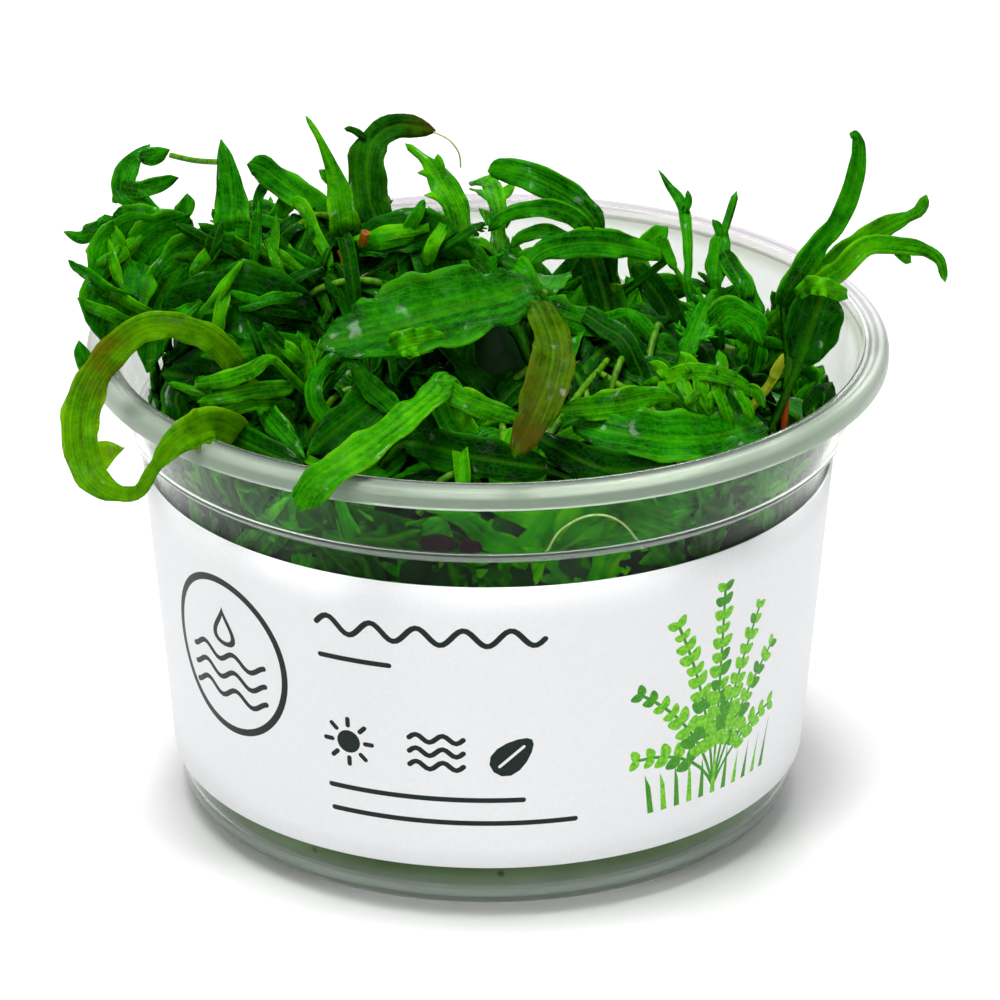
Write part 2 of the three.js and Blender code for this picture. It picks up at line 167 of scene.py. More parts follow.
# Cup: polypropylene, drawn to 0.9 mm, with a ledge under the mouth and a turned-down flange
cup = {
    "height": 48.9, "rim": 40.0, "mouth": 35.9, "wall": 0.9, "flatRadius": 28.5, "baseRadius": 31.6,
    "shoulderRadius": 34.6, "shoulder": 39.6, "corner": 3.0, "floor": 1.1, "flange": 1.0, "skirt": 1.95, "flare": 1.5,
    "segments": 192,
}
label = {"bottom": 5.5, "top": 36.7, "gap": 0.15, "thickness": 0.25, "columns": 168}
gel = {"top": 9.0, "gap": 0.3}


def around(radius, angle):   # a place on a circle
    return radius * cos(angle), radius * sin(angle)


def wallRadius(height):   # outer radius of the tapered wall
    share = (height - cup["corner"]) / (cup["shoulder"] - cup["corner"])
    return cup["baseRadius"] + (cup["shoulderRadius"] - cup["baseRadius"]) * share


def innerFace(height):   # radius of the wall's inside, past the ledge too
    step = min(1, max(0, (height - cup["shoulder"]) / cup["wall"]))
    below = wallRadius(min(height, cup["shoulder"])) - cup["wall"]
    return below + step * (cup["mouth"] + 0.1 - cup["shoulderRadius"])


def heldIn(point, margin=0.15, knee=0.8):   # leaves lie flat against the inside of the wall and don't pass it
    radius, limit = hypot(point[0], point[1]), innerFace(point[2] / mm) * mm - margin * mm
    over = radius - limit + knee * mm
    if over <= 0:
        return point
    share = (limit - knee * mm * exp(-over / (knee * mm))) / radius
    return (point[0] * share, point[1] * share, point[2])


def rounded(corners, steps=4):   # (radius, height, fillet) corners to a smooth profile
    profile = []
    for i, (radius, height, fillet) in enumerate(corners):
        here = Vector((radius, height))
        if not fillet or i in (0, len(corners) - 1):
            profile.append(here)
            continue
        before = Vector(corners[i - 1][:2]) - here
        after = Vector(corners[i + 1][:2]) - here
        start = here + before.normalized() * min(fillet, before.length * 0.45)
        end = here + after.normalized() * min(fillet, after.length * 0.45)
        for k in range(steps + 1):
            t = k / steps
            profile.append(start * (1 - t) ** 2 + here * 2 * t * (1 - t) + end * t * t)
    return profile


def turned(name, profile, material, segments):   # a closed body turned about Z from (radius, height) in mm
    vertices, faces, rows = [], [], []
    for radius, height in profile:
        if radius < 1e-6:
            rows.append([len(vertices)])
            vertices.append((0, 0, height * mm))
            continue
        rows.append(list(range(len(vertices), len(vertices) + segments)))
        for k in range(segments):
            angle = 2 * pi * k / segments
            vertices.append((*around(radius * mm, angle), height * mm))
    for low, high in zip(rows, rows[1:]):
        for k in range(segments):
            n = (k + 1) % segments
            corners = [low[k % len(low)], low[n % len(low)], high[n % len(high)], high[k % len(high)]]
            faces.append(list(dict.fromkeys(corners)))
    piece = newPiece(name, vertices, faces, [material])
    work = bmesh.new()
    work.from_mesh(piece.data)
    bmesh.ops.recalc_face_normals(work, faces=work.faces)
    work.to_mesh(piece.data)
    work.free()
    return piece


def polypropylene():   # moulded clear polypropylene: a milky turned-down edge, polished ledge, faint mist inside, a painted white highlight line at the ledge and a far wall painted paler
    material, add, place = newMaterial("clearPolypropylene")
    _, y, z = add("SeparateXYZ", {"Vector": place}).outputs
    level = add("VectorMath", {"operation": "MULTIPLY", 0: place, 1: (1.0, 1.0, 0.0)})
    radius = add("VectorMath", {"operation": "LENGTH", 0: level})
    skirt = add("MapRange", {"interpolation_type": "SMOOTHSTEP", "Value": radius, "from": (37.7 * mm, 38.4 * mm)})
    rim = add("MapRange", {"interpolation_type": "SMOOTHSTEP", "Value": z, "from": (46.2 * mm, 48.0 * mm)})
    foot = add("MapRange", {"interpolation_type": "SMOOTHSTEP", "Value": z, "from": (1.5 * mm, 5.0 * mm),
        "to": (0.4, 0.0)})
    drip = add("TexNoise", {"Vector": place, "Scale": 90.0, "Detail": 4.0})
    mist = add("MapRange", {"Value": drip, "from": (0.55, 0.85), "to": (0.0, 0.05)})
    grain = add("TexNoise", {"Vector": place, "Scale": 900.0, "Detail": 2.0})
    tint = add("ValToRGB", {"stops": [(0.0, "#f0f6ee"), (1.0, "#c9d5bd")], "Fac": rim})
    haze = add("Math", {"operation": "MULTIPLY_ADD", 0: skirt, 1: 0.46, 2: mist})
    # painted light: the far half of the wall is made milkier, for the light that comes through the back wall
    far = add("MapRange", {"interpolation_type": "SMOOTHSTEP", "Value": y, "from": (-14.0 * mm, 12.0 * mm),
        "to": (0.0, 0.24)})
    behind = add("MapRange", {"Value": y, "from": (-20.0 * mm, 15.0 * mm)})
    ends = add("Math", {"operation": "ADD", 0: foot, 1: far})
    # painted highlight: a white line of milk along the ledge, for the bright line where its step catches the light;
    # the coat on the ledge is its real gloss
    ledge = add("Math", {"operation": "COMPARE", 0: z, 1: 39.9 * mm, 2: 0.6 * mm})
    line = add("Math", {"operation": "MULTIPLY_ADD", 0: ledge, 1: 0.28, 2: ends})
    frostAndPaintedLight = add("Math", {"operation": "MULTIPLY_ADD", 0: rim, 1: 0.05, 2: line})
    milk = add("Math", {"operation": "ADD", "use_clamp": True, 0: haze, 1: frostAndPaintedLight})
    glaze = add("Math", {"operation": "MULTIPLY_ADD", 0: rim, 1: 0.1, 2: mist})
    frost = add("Math", {"operation": "MULTIPLY_ADD", 0: skirt, 1: 0.3, 2: glaze})
    rough = add("Math", {"operation": "MULTIPLY_ADD", 0: grain, 1: 0.02, 2: frost})
    polish = add("Math", {"operation": "MULTIPLY_ADD", 0: rim, 1: 0.06, 2: ledge})
    relief = add("Bump", {"Height": grain, "Strength": 0.12, "Distance": 0.05 * mm})
    # Polypropylene's IOR is 1.49. 1.3 and the dark tint match the photo: more lays the white floor over the leaves
    clear = add("BsdfPrincipled", {"Base Color": tint, "Roughness": rough, "IOR": 1.3,
        "Specular Tint": (0.08, 0.08, 0.08, 1), "Transmission Weight": 1.0, "Coat Weight": polish,
        "Coat Roughness": 0.1, "Normal": relief})
    # the milky share is greenish at the near edge and a paler lilac on the far wall: painted light, for the light
    # that comes through the back wall
    veil = add("Mix", {"data_type": "RGBA", "Factor_Float": behind, "A_Color": "#9fada0", "B_Color": "#c6c0c8"})
    cloudy = add("BsdfPrincipled", {"Base Color": veil, "Roughness": 0.35, "IOR": 1.49, "Specular IOR Level": 0.3,
        "Normal": relief})
    both = add("MixShader", {"Fac": milk, 1: clear, 2: cloudy})
    add("OutputMaterial", {"Surface": both})
    return material


def agar():   # set agar gel: cloudy grey-green, with small dark specks
    material, add, place = newMaterial("cloudyAgarGel")
    clouds = add("TexNoise", {"Vector": place, "Scale": 120.0, "Detail": 3.0})
    tint = add("ValToRGB", {"stops": [(0.3, "#4e683c"), (0.7, "#6a8256")], "Fac": clouds})
    cells = add("TexVoronoi", {"Vector": place, "Scale": 170.0})
    specks = add("MapRange", {"Value": cells, "from": (0.05, 0.09), "to": (1.0, 0.0)})
    colour = add("Mix", {"data_type": "RGBA", "Factor_Float": specks, "A_Color": tint, "B_Color": "#2f3a2a"})
    surface = add("BsdfPrincipled", {"Base Color": colour, "Roughness": 0.25, "IOR": 1.34,
        "Transmission Weight": 0.12, "Specular IOR Level": 0.2, "Subsurface Weight": 0.3, "Subsurface Scale": 0.004})
    add("OutputMaterial", {"Surface": surface})
    return material


def buildCup():
    top, rim, mouth, wall = cup["height"], cup["rim"], cup["mouth"], cup["wall"]
    flat, foot, shoulder, corner = cup["flatRadius"], cup["baseRadius"], cup["shoulderRadius"], cup["corner"]
    ledge, floor, flare = cup["shoulder"], cup["floor"], cup["flare"]
    profile = rounded([
        (0, 0, 0), (flat, 0, 0.6), (30.6, 0.75, 0.9), (foot, corner, 1.2), (shoulder, ledge, 0.35),
        (mouth + 0.1, ledge + 0.6, 0.35), (mouth + 0.3 + flare, top - cup["flange"], 0.4),
        (rim - 0.9, top - cup["flange"], 0.15), (rim - 0.9, top - cup["skirt"], 0.1), (rim, top - cup["skirt"], 0.25),
        (rim, top - 0.5, 0.4), (rim - 0.5, top, 0.3), (rim - 1.1, top, 0.15), (rim - 1.35, top - 0.2, 0.15),
        (mouth + 0.9 + flare, top - 0.2, 0.15), (mouth + 0.6 + flare, top, 0.15), (mouth + 0.1 + flare, top, 0.3),
        (mouth - 0.4 + flare, top - 0.7, 0.6), (mouth + 0.1 - wall, ledge + wall, 0.5), (shoulder - wall, ledge, 0.5),
        (foot - wall, corner, 1.0), (flat + 1.2, floor + 0.5, 0.6), (flat, floor, 0.4), (0, floor, 0),
    ])
    shell = turned("clear_cup", profile, polypropylene(), cup["segments"])
    shell.visible_shadow = False   # the studio lights reach the leaves through the clear wall
    settle(shell, "clear_cup", "cup")
    side = -wall - gel["gap"]
    bottom = floor + gel["gap"]
    body = rounded([
        (0, bottom, 0), (flat - 0.3, bottom, 0.4), (flat + 0.9, bottom + 0.8, 0.4),
        (wallRadius(corner + 0.4) + side, corner + 0.4, 0.6), (wallRadius(gel["top"]) + side, gel["top"], 0.4),
        (0, gel["top"] - 0.3, 0),
    ])
    settle(turned("agar_gel", body, agar(), 128), "gel", "nutrient_gel")


# Label: a printed film round the cup. The print is colour in the film's own surface, with nothing raised.
# Its places are (arc length, height) in mm, and 0 is the middle of the front.
inks = {
    "film": ("#ebecee", "#e8e9eb"),    # white polypropylene film
    "dark": ("#051812", "#0b2119"),    # blue-black process ink
    "leaf": ("#4fae10", "#8ad12a"),    # leaf-green process ink
    "shade": ("#2f8410", "#4a9c18"),   # a darker pass of the green
}
printRadius = 34.0


def printedFilm(name, low, high):   # satin film: fine halftone unevenness in the ink, a soft sheen
    material, add, place = newMaterial(name)
    dots = add("TexNoise", {"Vector": place, "Scale": 2600.0, "Detail": 2.0})
    tint = add("ValToRGB", {"stops": [(0.35, low), (0.65, high)], "Fac": dots})
    gloss = add("MapRange", {"Value": dots, "to": (0.32, 0.46)})
    surface = add("BsdfPrincipled", {"Base Color": tint, "Roughness": gloss, "IOR": 1.49, "Specular IOR Level": 0.2})
    add("OutputMaterial", {"Surface": surface})
    return material


def stroke(path, width):   # a line of a width with round ends, as one outline
    points = [Vector(p) for p in path]
    left, right = [], []
    for i, point in enumerate(points):
        before, after = points[max(i - 1, 0)], points[min(i + 1, len(points) - 1)]
        along = (after - before).normalized()
        side = Vector((-along.y, along.x)) * width / 2
        left.append(point + side)
        right.append(point - side)
    outline = left[:]
    for end, start in ((points[-1], left[-1]), (points[0], right[0])):
        arm = start - end
        turn = [Vector((arm.x * cos(a) + arm.y * sin(a), arm.y * cos(a) - arm.x * sin(a)))
                for a in (pi * k / 6 for k in range(1, 6))]
        outline += [end + t for t in turn]
        if end is points[-1]:
            outline += right[::-1]
    return outline


def disc(centre, radius, steps=32):
    x, y = centre
    return [Vector((x + radius * cos(2 * pi * k / steps), y + radius * sin(2 * pi * k / steps)))
            for k in range(steps)]


def oval(centre, length, width, lean, steps=14):   # a small leaf, pointed at its far end
    x, y = centre
    outline = []
    for k in range(steps):
        a = 2 * pi * k / steps
        u = (1 + cos(a)) / 2 * length
        v = sin(a) * width / 2 * (1.15 - 0.35 * cos(a))
        outline.append(Vector((x + u * cos(lean) - v * sin(lean), y + u * sin(lean) + v * cos(lean))))
    return outline


artwork = {
    "ring": (-29.5, 23.6), "ringRadius": 8.6, "ringWidth": 0.75, "ringWaves": (-4.2, -2.2, -0.2), "line": 0.55,
    "rules": ((-16.8, -9.6, 27.6), (-16.4, 3.6, 13.2), (-16.2, 9.0, 10.6)),   # start, end, height
    "sun": (-14.2, 18.4), "rays": 8, "waterRows": (-1.5, 0.0, 1.5), "leaf": (0.6, 16.4),
    "root": (25.4, 10.4), "grass": 11,
    "shoots": ((0.95, 12), (0.6, 16.5), (0.28, 20.5), (0.02, 22), (-0.25, 19), (-0.5, 15.5), (-0.85, 11)),
}   # each shoot as its lean in radians and its reach


def labelPrint():   # outlines in painter's order, each with its ink
    thin = artwork["line"]
    centre, radius = artwork["ring"], artwork["ringRadius"]
    shapes = [("dark", disc(centre, radius, 64)), ("film", disc(centre, radius - artwork["ringWidth"], 64))]
    for rise in artwork["ringWaves"]:
        wave = [(centre[0] + x, centre[1] + rise + 0.55 * sin(x * 1.35)) for x in
                (-5.6 + 11.2 * k / 28 for k in range(29))]
        shapes.append(("dark", stroke(wave, thin)))
    for ink, wide, rise, tall in (("dark", 1.75, 3.2, 2.2), ("film", 1.1, 2.95, 1.45)):   # a drop and its inside
        drop = [(centre[0] + wide * sin(a) * (1 - cos(a)) / 1.3, centre[1] + rise + tall * cos(a))
                for a in (2 * pi * k / 28 for k in range(28))]
        shapes.append((ink, [Vector(p) for p in drop]))
    swell = [(-17 + 22.5 * k / 60, 31.2 + 0.85 * sin(k * 0.52)) for k in range(61)]
    shapes.append(("dark", stroke(swell, 0.6)))
    for start, end, height in artwork["rules"]:
        dots = int((end - start) / 0.9)
        shapes.append(("dark", stroke([(start + (end - start) * k / dots, height) for k in range(dots + 1)], thin)))
    sun = artwork["sun"]   # sun, water and leaf signs
    shapes.append(("dark", disc(sun, 1.25, 24)))
    for k in range(artwork["rays"]):
        a = pi * k / 4
        shapes.append(("dark", stroke([(sun[0] + 1.8 * cos(a), sun[1] + 1.8 * sin(a)),
                                       (sun[0] + 2.5 * cos(a), sun[1] + 2.5 * sin(a))], 0.5)))
    for rise in artwork["waterRows"]:
        wave = [(-7.8 + 5.4 * k / 16, sun[1] + rise + 0.4 * sin(k * 0.79)) for k in range(17)]
        shapes.append(("dark", stroke(wave, thin)))
    shapes.append(("dark", oval(artwork["leaf"], 5.2, 2.8, 0.75)))
    shapes.append(("film", stroke([(1.2, 17.0), (3.6, 19.2)], 0.3)))
    draw = random.Random(5)
    root = artwork["root"]
    for lean, reach in artwork["shoots"]:   # shoots with pairs of round leaves
        steps = int(reach / 1.55)
        line = []
        for j in range(steps + 1):
            t = j / steps
            bend = lean * (0.55 + 0.6 * t)
            line.append((root[0] - sin(bend) * reach * t * 0.92, root[1] + cos(bend) * reach * t))
        shapes.append(("shade", stroke(line, 0.34)))
        for j in range(3, steps + 1):
            x, y = line[j]
            along = atan2(line[j][1] - line[j - 1][1], line[j][0] - line[j - 1][0])
            size = 2.3 * (1 - 0.45 * j / steps) * draw.uniform(0.85, 1.15)
            for way in (-1, 1):
                ink = "leaf" if draw.random() < 0.7 else "shade"
                shapes.append((ink, oval((x, y), size, size * 0.62, along + way * draw.uniform(0.7, 1.0))))
    for k in range(artwork["grass"]):   # low blades of grass at the foot
        x = root[0] - 8 + 1.6 * k
        lean = (x - root[0]) * 0.05
        blade = [Vector((x - 0.35, 9.6)), Vector((x + 0.35, 9.6)),
                 Vector((x + lean + 0.2, 12.6)), Vector((x + 2.4 * lean, 14.4 + draw.uniform(-1, 1)))]
        shapes.append(("leaf" if k % 2 else "shade", blade))
    return shapes


def buildLabel():
    low, high = label["bottom"], label["top"]
    half = pi * printRadius
    columns = label["columns"]
    points, faces, faceInks = [], [], []
    xs = [-half + 2 * half * k / columns for k in range(columns + 1)]
    edge = [(x, low) for x in xs] + [(x, high) for x in reversed(xs)]
    points += [Vector(p) for p in edge]
    faces.append(list(range(len(points))))
    faceInks.append("film")
    for ink, outline in labelPrint():
        area = sum(a.x * b.y - b.x * a.y for a, b in zip(outline, outline[1:] + outline[:1]))
        faces.append(list(range(len(points), len(points) + len(outline))))
        points += outline if area > 0 else outline[::-1]
        faceInks.append(ink)
    rows = 8
    points += [Vector((x, low + (high - low) * r / rows)) for x in xs for r in range(1, rows)]
    flat, _, triangles, _, _, origins = geometry.delaunay_2d_cdt(points, [], faces, 1, 1e-4)
    names = list(inks)
    outer = label["gap"] + label["thickness"]

    def placed(x, height, out):
        x, y = around(wallRadius(height) + out, x / printRadius - pi / 2)
        return (x * mm, y * mm, height * mm)

    vertices = [placed(p.x, p.y, outer) for p in flat]
    slots = [names.index(faceInks[max(origin)]) for origin in origins]
    piece = newPiece("printed_label", vertices, triangles,
                     [printedFilm("printedFilm" + name.capitalize(), *inks[name]) for name in names], slots)
    work = bmesh.new()
    work.from_mesh(piece.data)
    bmesh.ops.remove_doubles(work, verts=work.verts, dist=2e-6)
    rims = [e for e in work.edges if len(e.link_faces) == 1]
    grown = bmesh.ops.extrude_edge_only(work, edges=rims)["geom"]
    for vertex in (v for v in grown if isinstance(v, bmesh.types.BMVert)):
        radius = hypot(vertex.co.x, vertex.co.y)
        share = (radius - label["thickness"] * mm) / radius
        vertex.co.x *= share
        vertex.co.y *= share
    inner = [e for e in grown if isinstance(e, bmesh.types.BMEdge) and len(e.link_faces) == 1]
    bmesh.ops.bridge_loops(work, edges=inner)
    bmesh.ops.recalc_face_normals(work, faces=work.faces)
    for face in work.faces:
        centre = face.calc_center_median()
        if hypot(centre.x, centre.y) < (wallRadius(centre.z / mm) + outer - 0.02) * mm:
            face.material_index = 0
        face.smooth = abs(face.normal.z) < 0.7
    work.to_mesh(piece.data)
    work.free()
    settle(piece, "label_film", "label")


# Leaves: living leaf tissue, thin and wet
leafTones = {   # deep, body, bright and edge colours, and how much light comes through
    "young": ("#0f6000", "#309e00", "#62c800", "#84dc08", 0.3),
    "fresh": ("#044000", "#128000", "#3aae00", "#58c404", 0.26),
    "mature": ("#033400", "#0c6200", "#2a9200", "#4ab002", 0.2),
    # deep: a dark green, partly drawn at random and partly painted shade, given to the leaves that lie low, under
    # others or in the heap's shadow
    "deep": ("#012000", "#064400", "#146800", "#2c8e02", 0.16),
    "olive": ("#1c4000", "#386400", "#588400", "#708c08", 0.18),
    "bruised": ("#012000", "#064400", "#227000", "#3c7e04", 0.16),
    "turning": ("#2e6a00", "#4c9600", "#72b400", "#8cc004", 0.3),
    "yellowing": ("#648008", "#94a818", "#b8c030", "#c4c850", 0.3),
}


def leafTissue(name, tones, brownFrom=2.0, midrib="#5fb406", spineShow=0.16, brownBand=None, brown="#523a08",
               paintedBaseShade=-0.22):
    # wet lamina: paler veins, darker pits between them, gloss in patches, light through the blade
    material, add, place = newMaterial(name)
    deep, body, bright, rimTint, through = tones
    uv = add("UVMap", {"uv_map": "leafPlace"})
    u, v, _ = add("SeparateXYZ", {"Vector": uv}).outputs
    offset = add("Math", {"operation": "SUBTRACT", 0: u, 1: 0.5})
    across = add("Math", {"operation": "ABSOLUTE", 0: offset})
    clouds = add("TexNoise", {"Vector": place, "Scale": 150.0, "Detail": 5.0, "Roughness": 0.6})
    fibres = add("Mapping", {"Vector": uv, "Scale": (16.0, 2.2, 1.0)})
    drift = add("VectorMath", {"operation": "MULTIPLY_ADD", 0: place, 1: (90.0, 90.0, 90.0), 2: fibres})
    streak = add("TexNoise", {"Vector": drift, "Scale": 1.0, "Detail": 3.0})
    patchy = add("Math", {"operation": "MULTIPLY_ADD", 0: streak, 1: 0.9, 2: -0.45})
    # small pits about 1 mm apart
    pits = add("TexNoise", {"Vector": place, "Scale": 900.0, "Detail": 2.0})
    pitted = add("Math", {"operation": "MULTIPLY_ADD", 0: pits, 1: 0.55, 2: -0.275})
    uneven = add("Math", {"operation": "ADD", 0: patchy, 1: pitted})
    mottle = add("Math", {"operation": "ADD", 0: clouds, 1: uneven})
    # painted shade: the blade is darker towards its base, which lies deep in the heap; the turning tone is lighter
    # there instead
    base = add("MapRange", {"Value": v, "from": (0.0, 0.45), "to": (paintedBaseShade, 0.0)})
    shade = add("Math", {"operation": "ADD", 0: mottle, 1: base})
    tint = add("ValToRGB", {"stops": [(0.25, deep), (0.5, body), (0.8, bright)], "Fac": shade})
    # areoles about 0.7 mm across
    cells = add("TexVoronoi", {"feature": "DISTANCE_TO_EDGE", "Vector": place, "Scale": 1500.0})
    net = add("MapRange", {"Value": cells, "from": (0.0, 0.12), "to": (0.14, 0.0)})
    veined = add("Mix", {"data_type": "RGBA", "Factor_Float": net, "A_Color": tint, "B_Color": rimTint})
    lean = add("Math", {"operation": "MULTIPLY_ADD", 0: across, 1: -7.0, 2: 0.0})
    ribs = add("Math", {"operation": "MULTIPLY_ADD", 0: v, 1: 11.0, 2: lean})
    wave = add("Math", {"operation": "PINGPONG", 0: ribs, 1: 0.5})
    side = add("MapRange", {"Value": wave, "from": (0.0, 0.08), "to": (0.16, 0.0)})
    ribbed = add("Mix", {"data_type": "RGBA", "Factor_Float": side, "A_Color": veined, "B_Color": rimTint})
    spine = add("MapRange", {"Value": across, "from": (0.015, 0.07), "to": (spineShow, 0.0)})
    spined = add("Mix", {"data_type": "RGBA", "Factor_Float": spine, "A_Color": ribbed, "B_Color": midrib})
    margin = add("MapRange", {"Value": across, "from": (0.36, 0.5), "to": (0.0, 0.5)})
    edged = add("Mix", {"data_type": "RGBA", "Factor_Float": margin, "A_Color": spined, "B_Color": rimTint})
    stain = add("TexNoise", {"Vector": place, "Scale": 260.0, "Detail": 3.0})
    if brownBand:   # brown over one stretch of the blade only
        off = add("Math", {"operation": "SUBTRACT", 0: v, 1: brownBand[0]})
        away = add("Math", {"operation": "ABSOLUTE", 0: off})
        age = add("MapRange", {"interpolation_type": "SMOOTHSTEP", "Value": away, "from": (0.0, brownBand[1]),
            "to": (0.75, 0.0)})
    elif brownFrom < 1:   # brown towards the tip
        age = add("MapRange", {"Value": v, "from": (brownFrom, 1.05), "to": (0.0, 1.1)})
    else:
        age = add("Math", {"operation": "MULTIPLY", 0: v, 1: 0.25})
    old = add("MapRange", {"Value": stain, "from": (0.4, 0.62), "to": (0.15, 1.0)})
    aged = add("Math", {"operation": "MULTIPLY", "use_clamp": True, 0: age, 1: old})
    colour = add("Mix", {"data_type": "RGBA", "Factor_Float": aged, "A_Color": edged,
        "B_Color": brown if brownFrom < 1 or brownBand else deep})
    wet = add("TexNoise", {"Vector": place, "Scale": 620.0, "Detail": 1.0})
    film = add("MapRange", {"Value": wet, "from": (0.58, 0.66), "to": (0.0, 0.7)})
    dents = add("Math", {"operation": "MULTIPLY_ADD", 0: pits, 1: 0.9, 2: clouds})
    height = add("Math", {"operation": "SUBTRACT", 0: dents, 1: net})
    pleat = add("Math", {"operation": "MULTIPLY_ADD", 0: side, 1: -1.2, 2: height})
    relief = add("Bump", {"Height": pleat, "Strength": 0.6, "Distance": 0.14 * mm})
    lamina = add("BsdfPrincipled", {"Base Color": colour, "Roughness": 0.42, "IOR": 1.42, "Specular IOR Level": 0.04,
        "Coat Weight": film, "Coat Roughness": 0.14, "Coat IOR": 1.33, "Normal": relief})
    glow = add("BsdfTranslucent", {"Color": colour, "Normal": relief})
    both = add("MixShader", {"Fac": through, 1: lamina, 2: glow})
    add("OutputMaterial", {"Surface": both})
    return material


def curvePoint(points, t):   # place and direction on the same smooth curve as the solids follow
    last = len(points) - 1
    at = min(max(t, 0.0), 1.0) * last
    i = min(int(at), last - 1)
    w = at - i
    p1, p2 = points[i], points[i + 1]
    p0 = points[i - 1] if i > 0 else 2 * p1 - p2
    p3 = points[i + 2] if i + 2 <= last else 2 * p2 - p1
    t0, t1 = (p2 - p0) / 2, (p3 - p1) / 2
    c2, c3 = 3 * (p2 - p1) - 2 * t0 - t1, 2 * (p1 - p2) + t0 + t1
    return p1 + t0 * w + c2 * w * w + c3 * w ** 3, (t0 + 2 * c2 * w + 3 * c3 * w * w).normalized()


def curveLength(points, start=0.0, end=1.0, steps=40):
    places = [curvePoint(points, start + (end - start) * k / steps)[0] for k in range(steps + 1)]
    return sum((b - a).length for a, b in zip(places, places[1:]))


leafForm = {
    "thickness": 0.3, "edge": 0.12, "stalk": 0.45, "roll": 2.8, "twist": 0.22, "ripple": 0.32,
    "rippleLength": 5.0, "midrib": 0.2, "quilt": 0.09, "grid": 0.62, "strap": 0.42, "uneven": 0.3,
    "lobeProfile": ((0, 0.5), (0.08, 0.85), (0.3, 1.05), (0.7, 0.85), (0.9, 0.6), (1, 0.25)),
}


def finger(base, tip, halfWidth, bow, steps=7):   # one lobe, from its base to its rounded tip
    base, tip = Vector(base), Vector(tip)
    along = tip - base
    side = Vector((-along.y, along.x)).normalized()
    left, right = [], []
    for k in range(steps + 1):
        q = k / steps
        centre = base + along * q + side * bow * sin(pi * q) * along.length
        half = halfWidth * (1 - q ** 2.2) ** 0.6 * (0.8 + 0.25 * sin(pi * q))
        left.append(centre + side * half)
        if k < steps:
            right.append(centre - side * half)
    return left + right[::-1]


def profileAt(profile, s):
    for (s0, share0), (s1, share1) in zip(profile, profile[1:]):
        if s <= s1:
            return share0 + (share1 - share0) * (s - s0) / (s1 - s0)
    return profile[-1][1]


def leafOutlines(leaf, length, draw):   # outlines in leaf places: (distance from the blade's start, distance across)
    half = leaf["width"] / 2
    power = 0.45 if leaf.get("blunt") else 0.75
    lobes = leaf.get("lobes", 0)
    depth = leaf.get("depth", 0) if lobes else 0
    shift = draw.uniform(0, 6)
    steps = max(18, int(length / 0.7))

    tail = leaf.get("tail", 0)   # the share of the blade that is drawn out to a thin strap

    def envelope(s):
        if "profile" in leaf:
            return profileAt(leaf["profile"], s) * min(1.0, (1.0 - s) * length / half + 0.02) ** 0.5
        body = sin(pi * min(1, 0.03 + 0.97 * s / (1 - tail)))
        return max(0.0, body) ** power

    left, right = [], []
    for i in range(steps + 1):
        s = i / steps
        zone = min(1, max(0, (s - 0.06) / 0.14))
        body = half * envelope(s) * (1 - depth * zone)
        if "profile" in leaf:
            strap = 0.04
        elif tail or lobes:
            strap = leafForm["strap"] * (1 - s ** 24) ** 0.5
        else:
            strap = leafForm["stalk"] * (1 - s) ** 0.5
        for way, side in ((1, left), (-1, right)):
            uneven = 1 + leafForm["uneven"] * noise.noise(Vector((s * length * 0.45 + shift, way * 3.0, 0)))
            side.append(Vector((s * length, way * max(body * uneven, strap))))
    outlines = [left + right[::-1]]
    pitch = length / (2 * lobes + 4) * 2 if lobes else 0
    for k in range(lobes):
        for way in (-1, 1):
            s = (2 * k + 3 + way * draw.uniform(0, 0.5)) / (2 * lobes + 4)
            reach = half * envelope(s) * draw.uniform(0.6, 1.12)
            lead = min(reach * draw.uniform(0.6, 1.15), 1.1 * pitch) * leaf.get("sweep", 1.0)
            tipAt = s * length + 0.45 * lead
            wide = min(0.27 * pitch, 1.15) * draw.uniform(0.75, 1.15)
            base = (tipAt - lead, way * 0.1)
            tip = (tipAt, way * reach)
            outlines.append(finger(base, tip, wide, -way * draw.uniform(-0.05, 0.2)))
            if leaf.get("teeth"):
                run = Vector(tip) - Vector(base)
                for q, turn in ((0.42, -0.5), (0.42, 0.55), (0.7, -0.4), (0.7, 0.45)):
                    start = Vector(base) + run * q
                    lean = way * turn * draw.uniform(0.7, 1.2)
                    branch = Vector((run.x * cos(lean) - run.y * sin(lean),
                                     run.x * sin(lean) + run.y * cos(lean)))
                    outlines.append(finger(start, start + branch * draw.uniform(0.3, 0.42), wide * 0.42, 0, 4))
    for at, way, reach, wide, sweep in leaf.get("spurs", ()):   # single lobes of one leaf
        base = Vector((at * length, 0))
        outlines.append(finger(base, base + Vector((sweep, way * reach)), wide, 0))
    return outlines


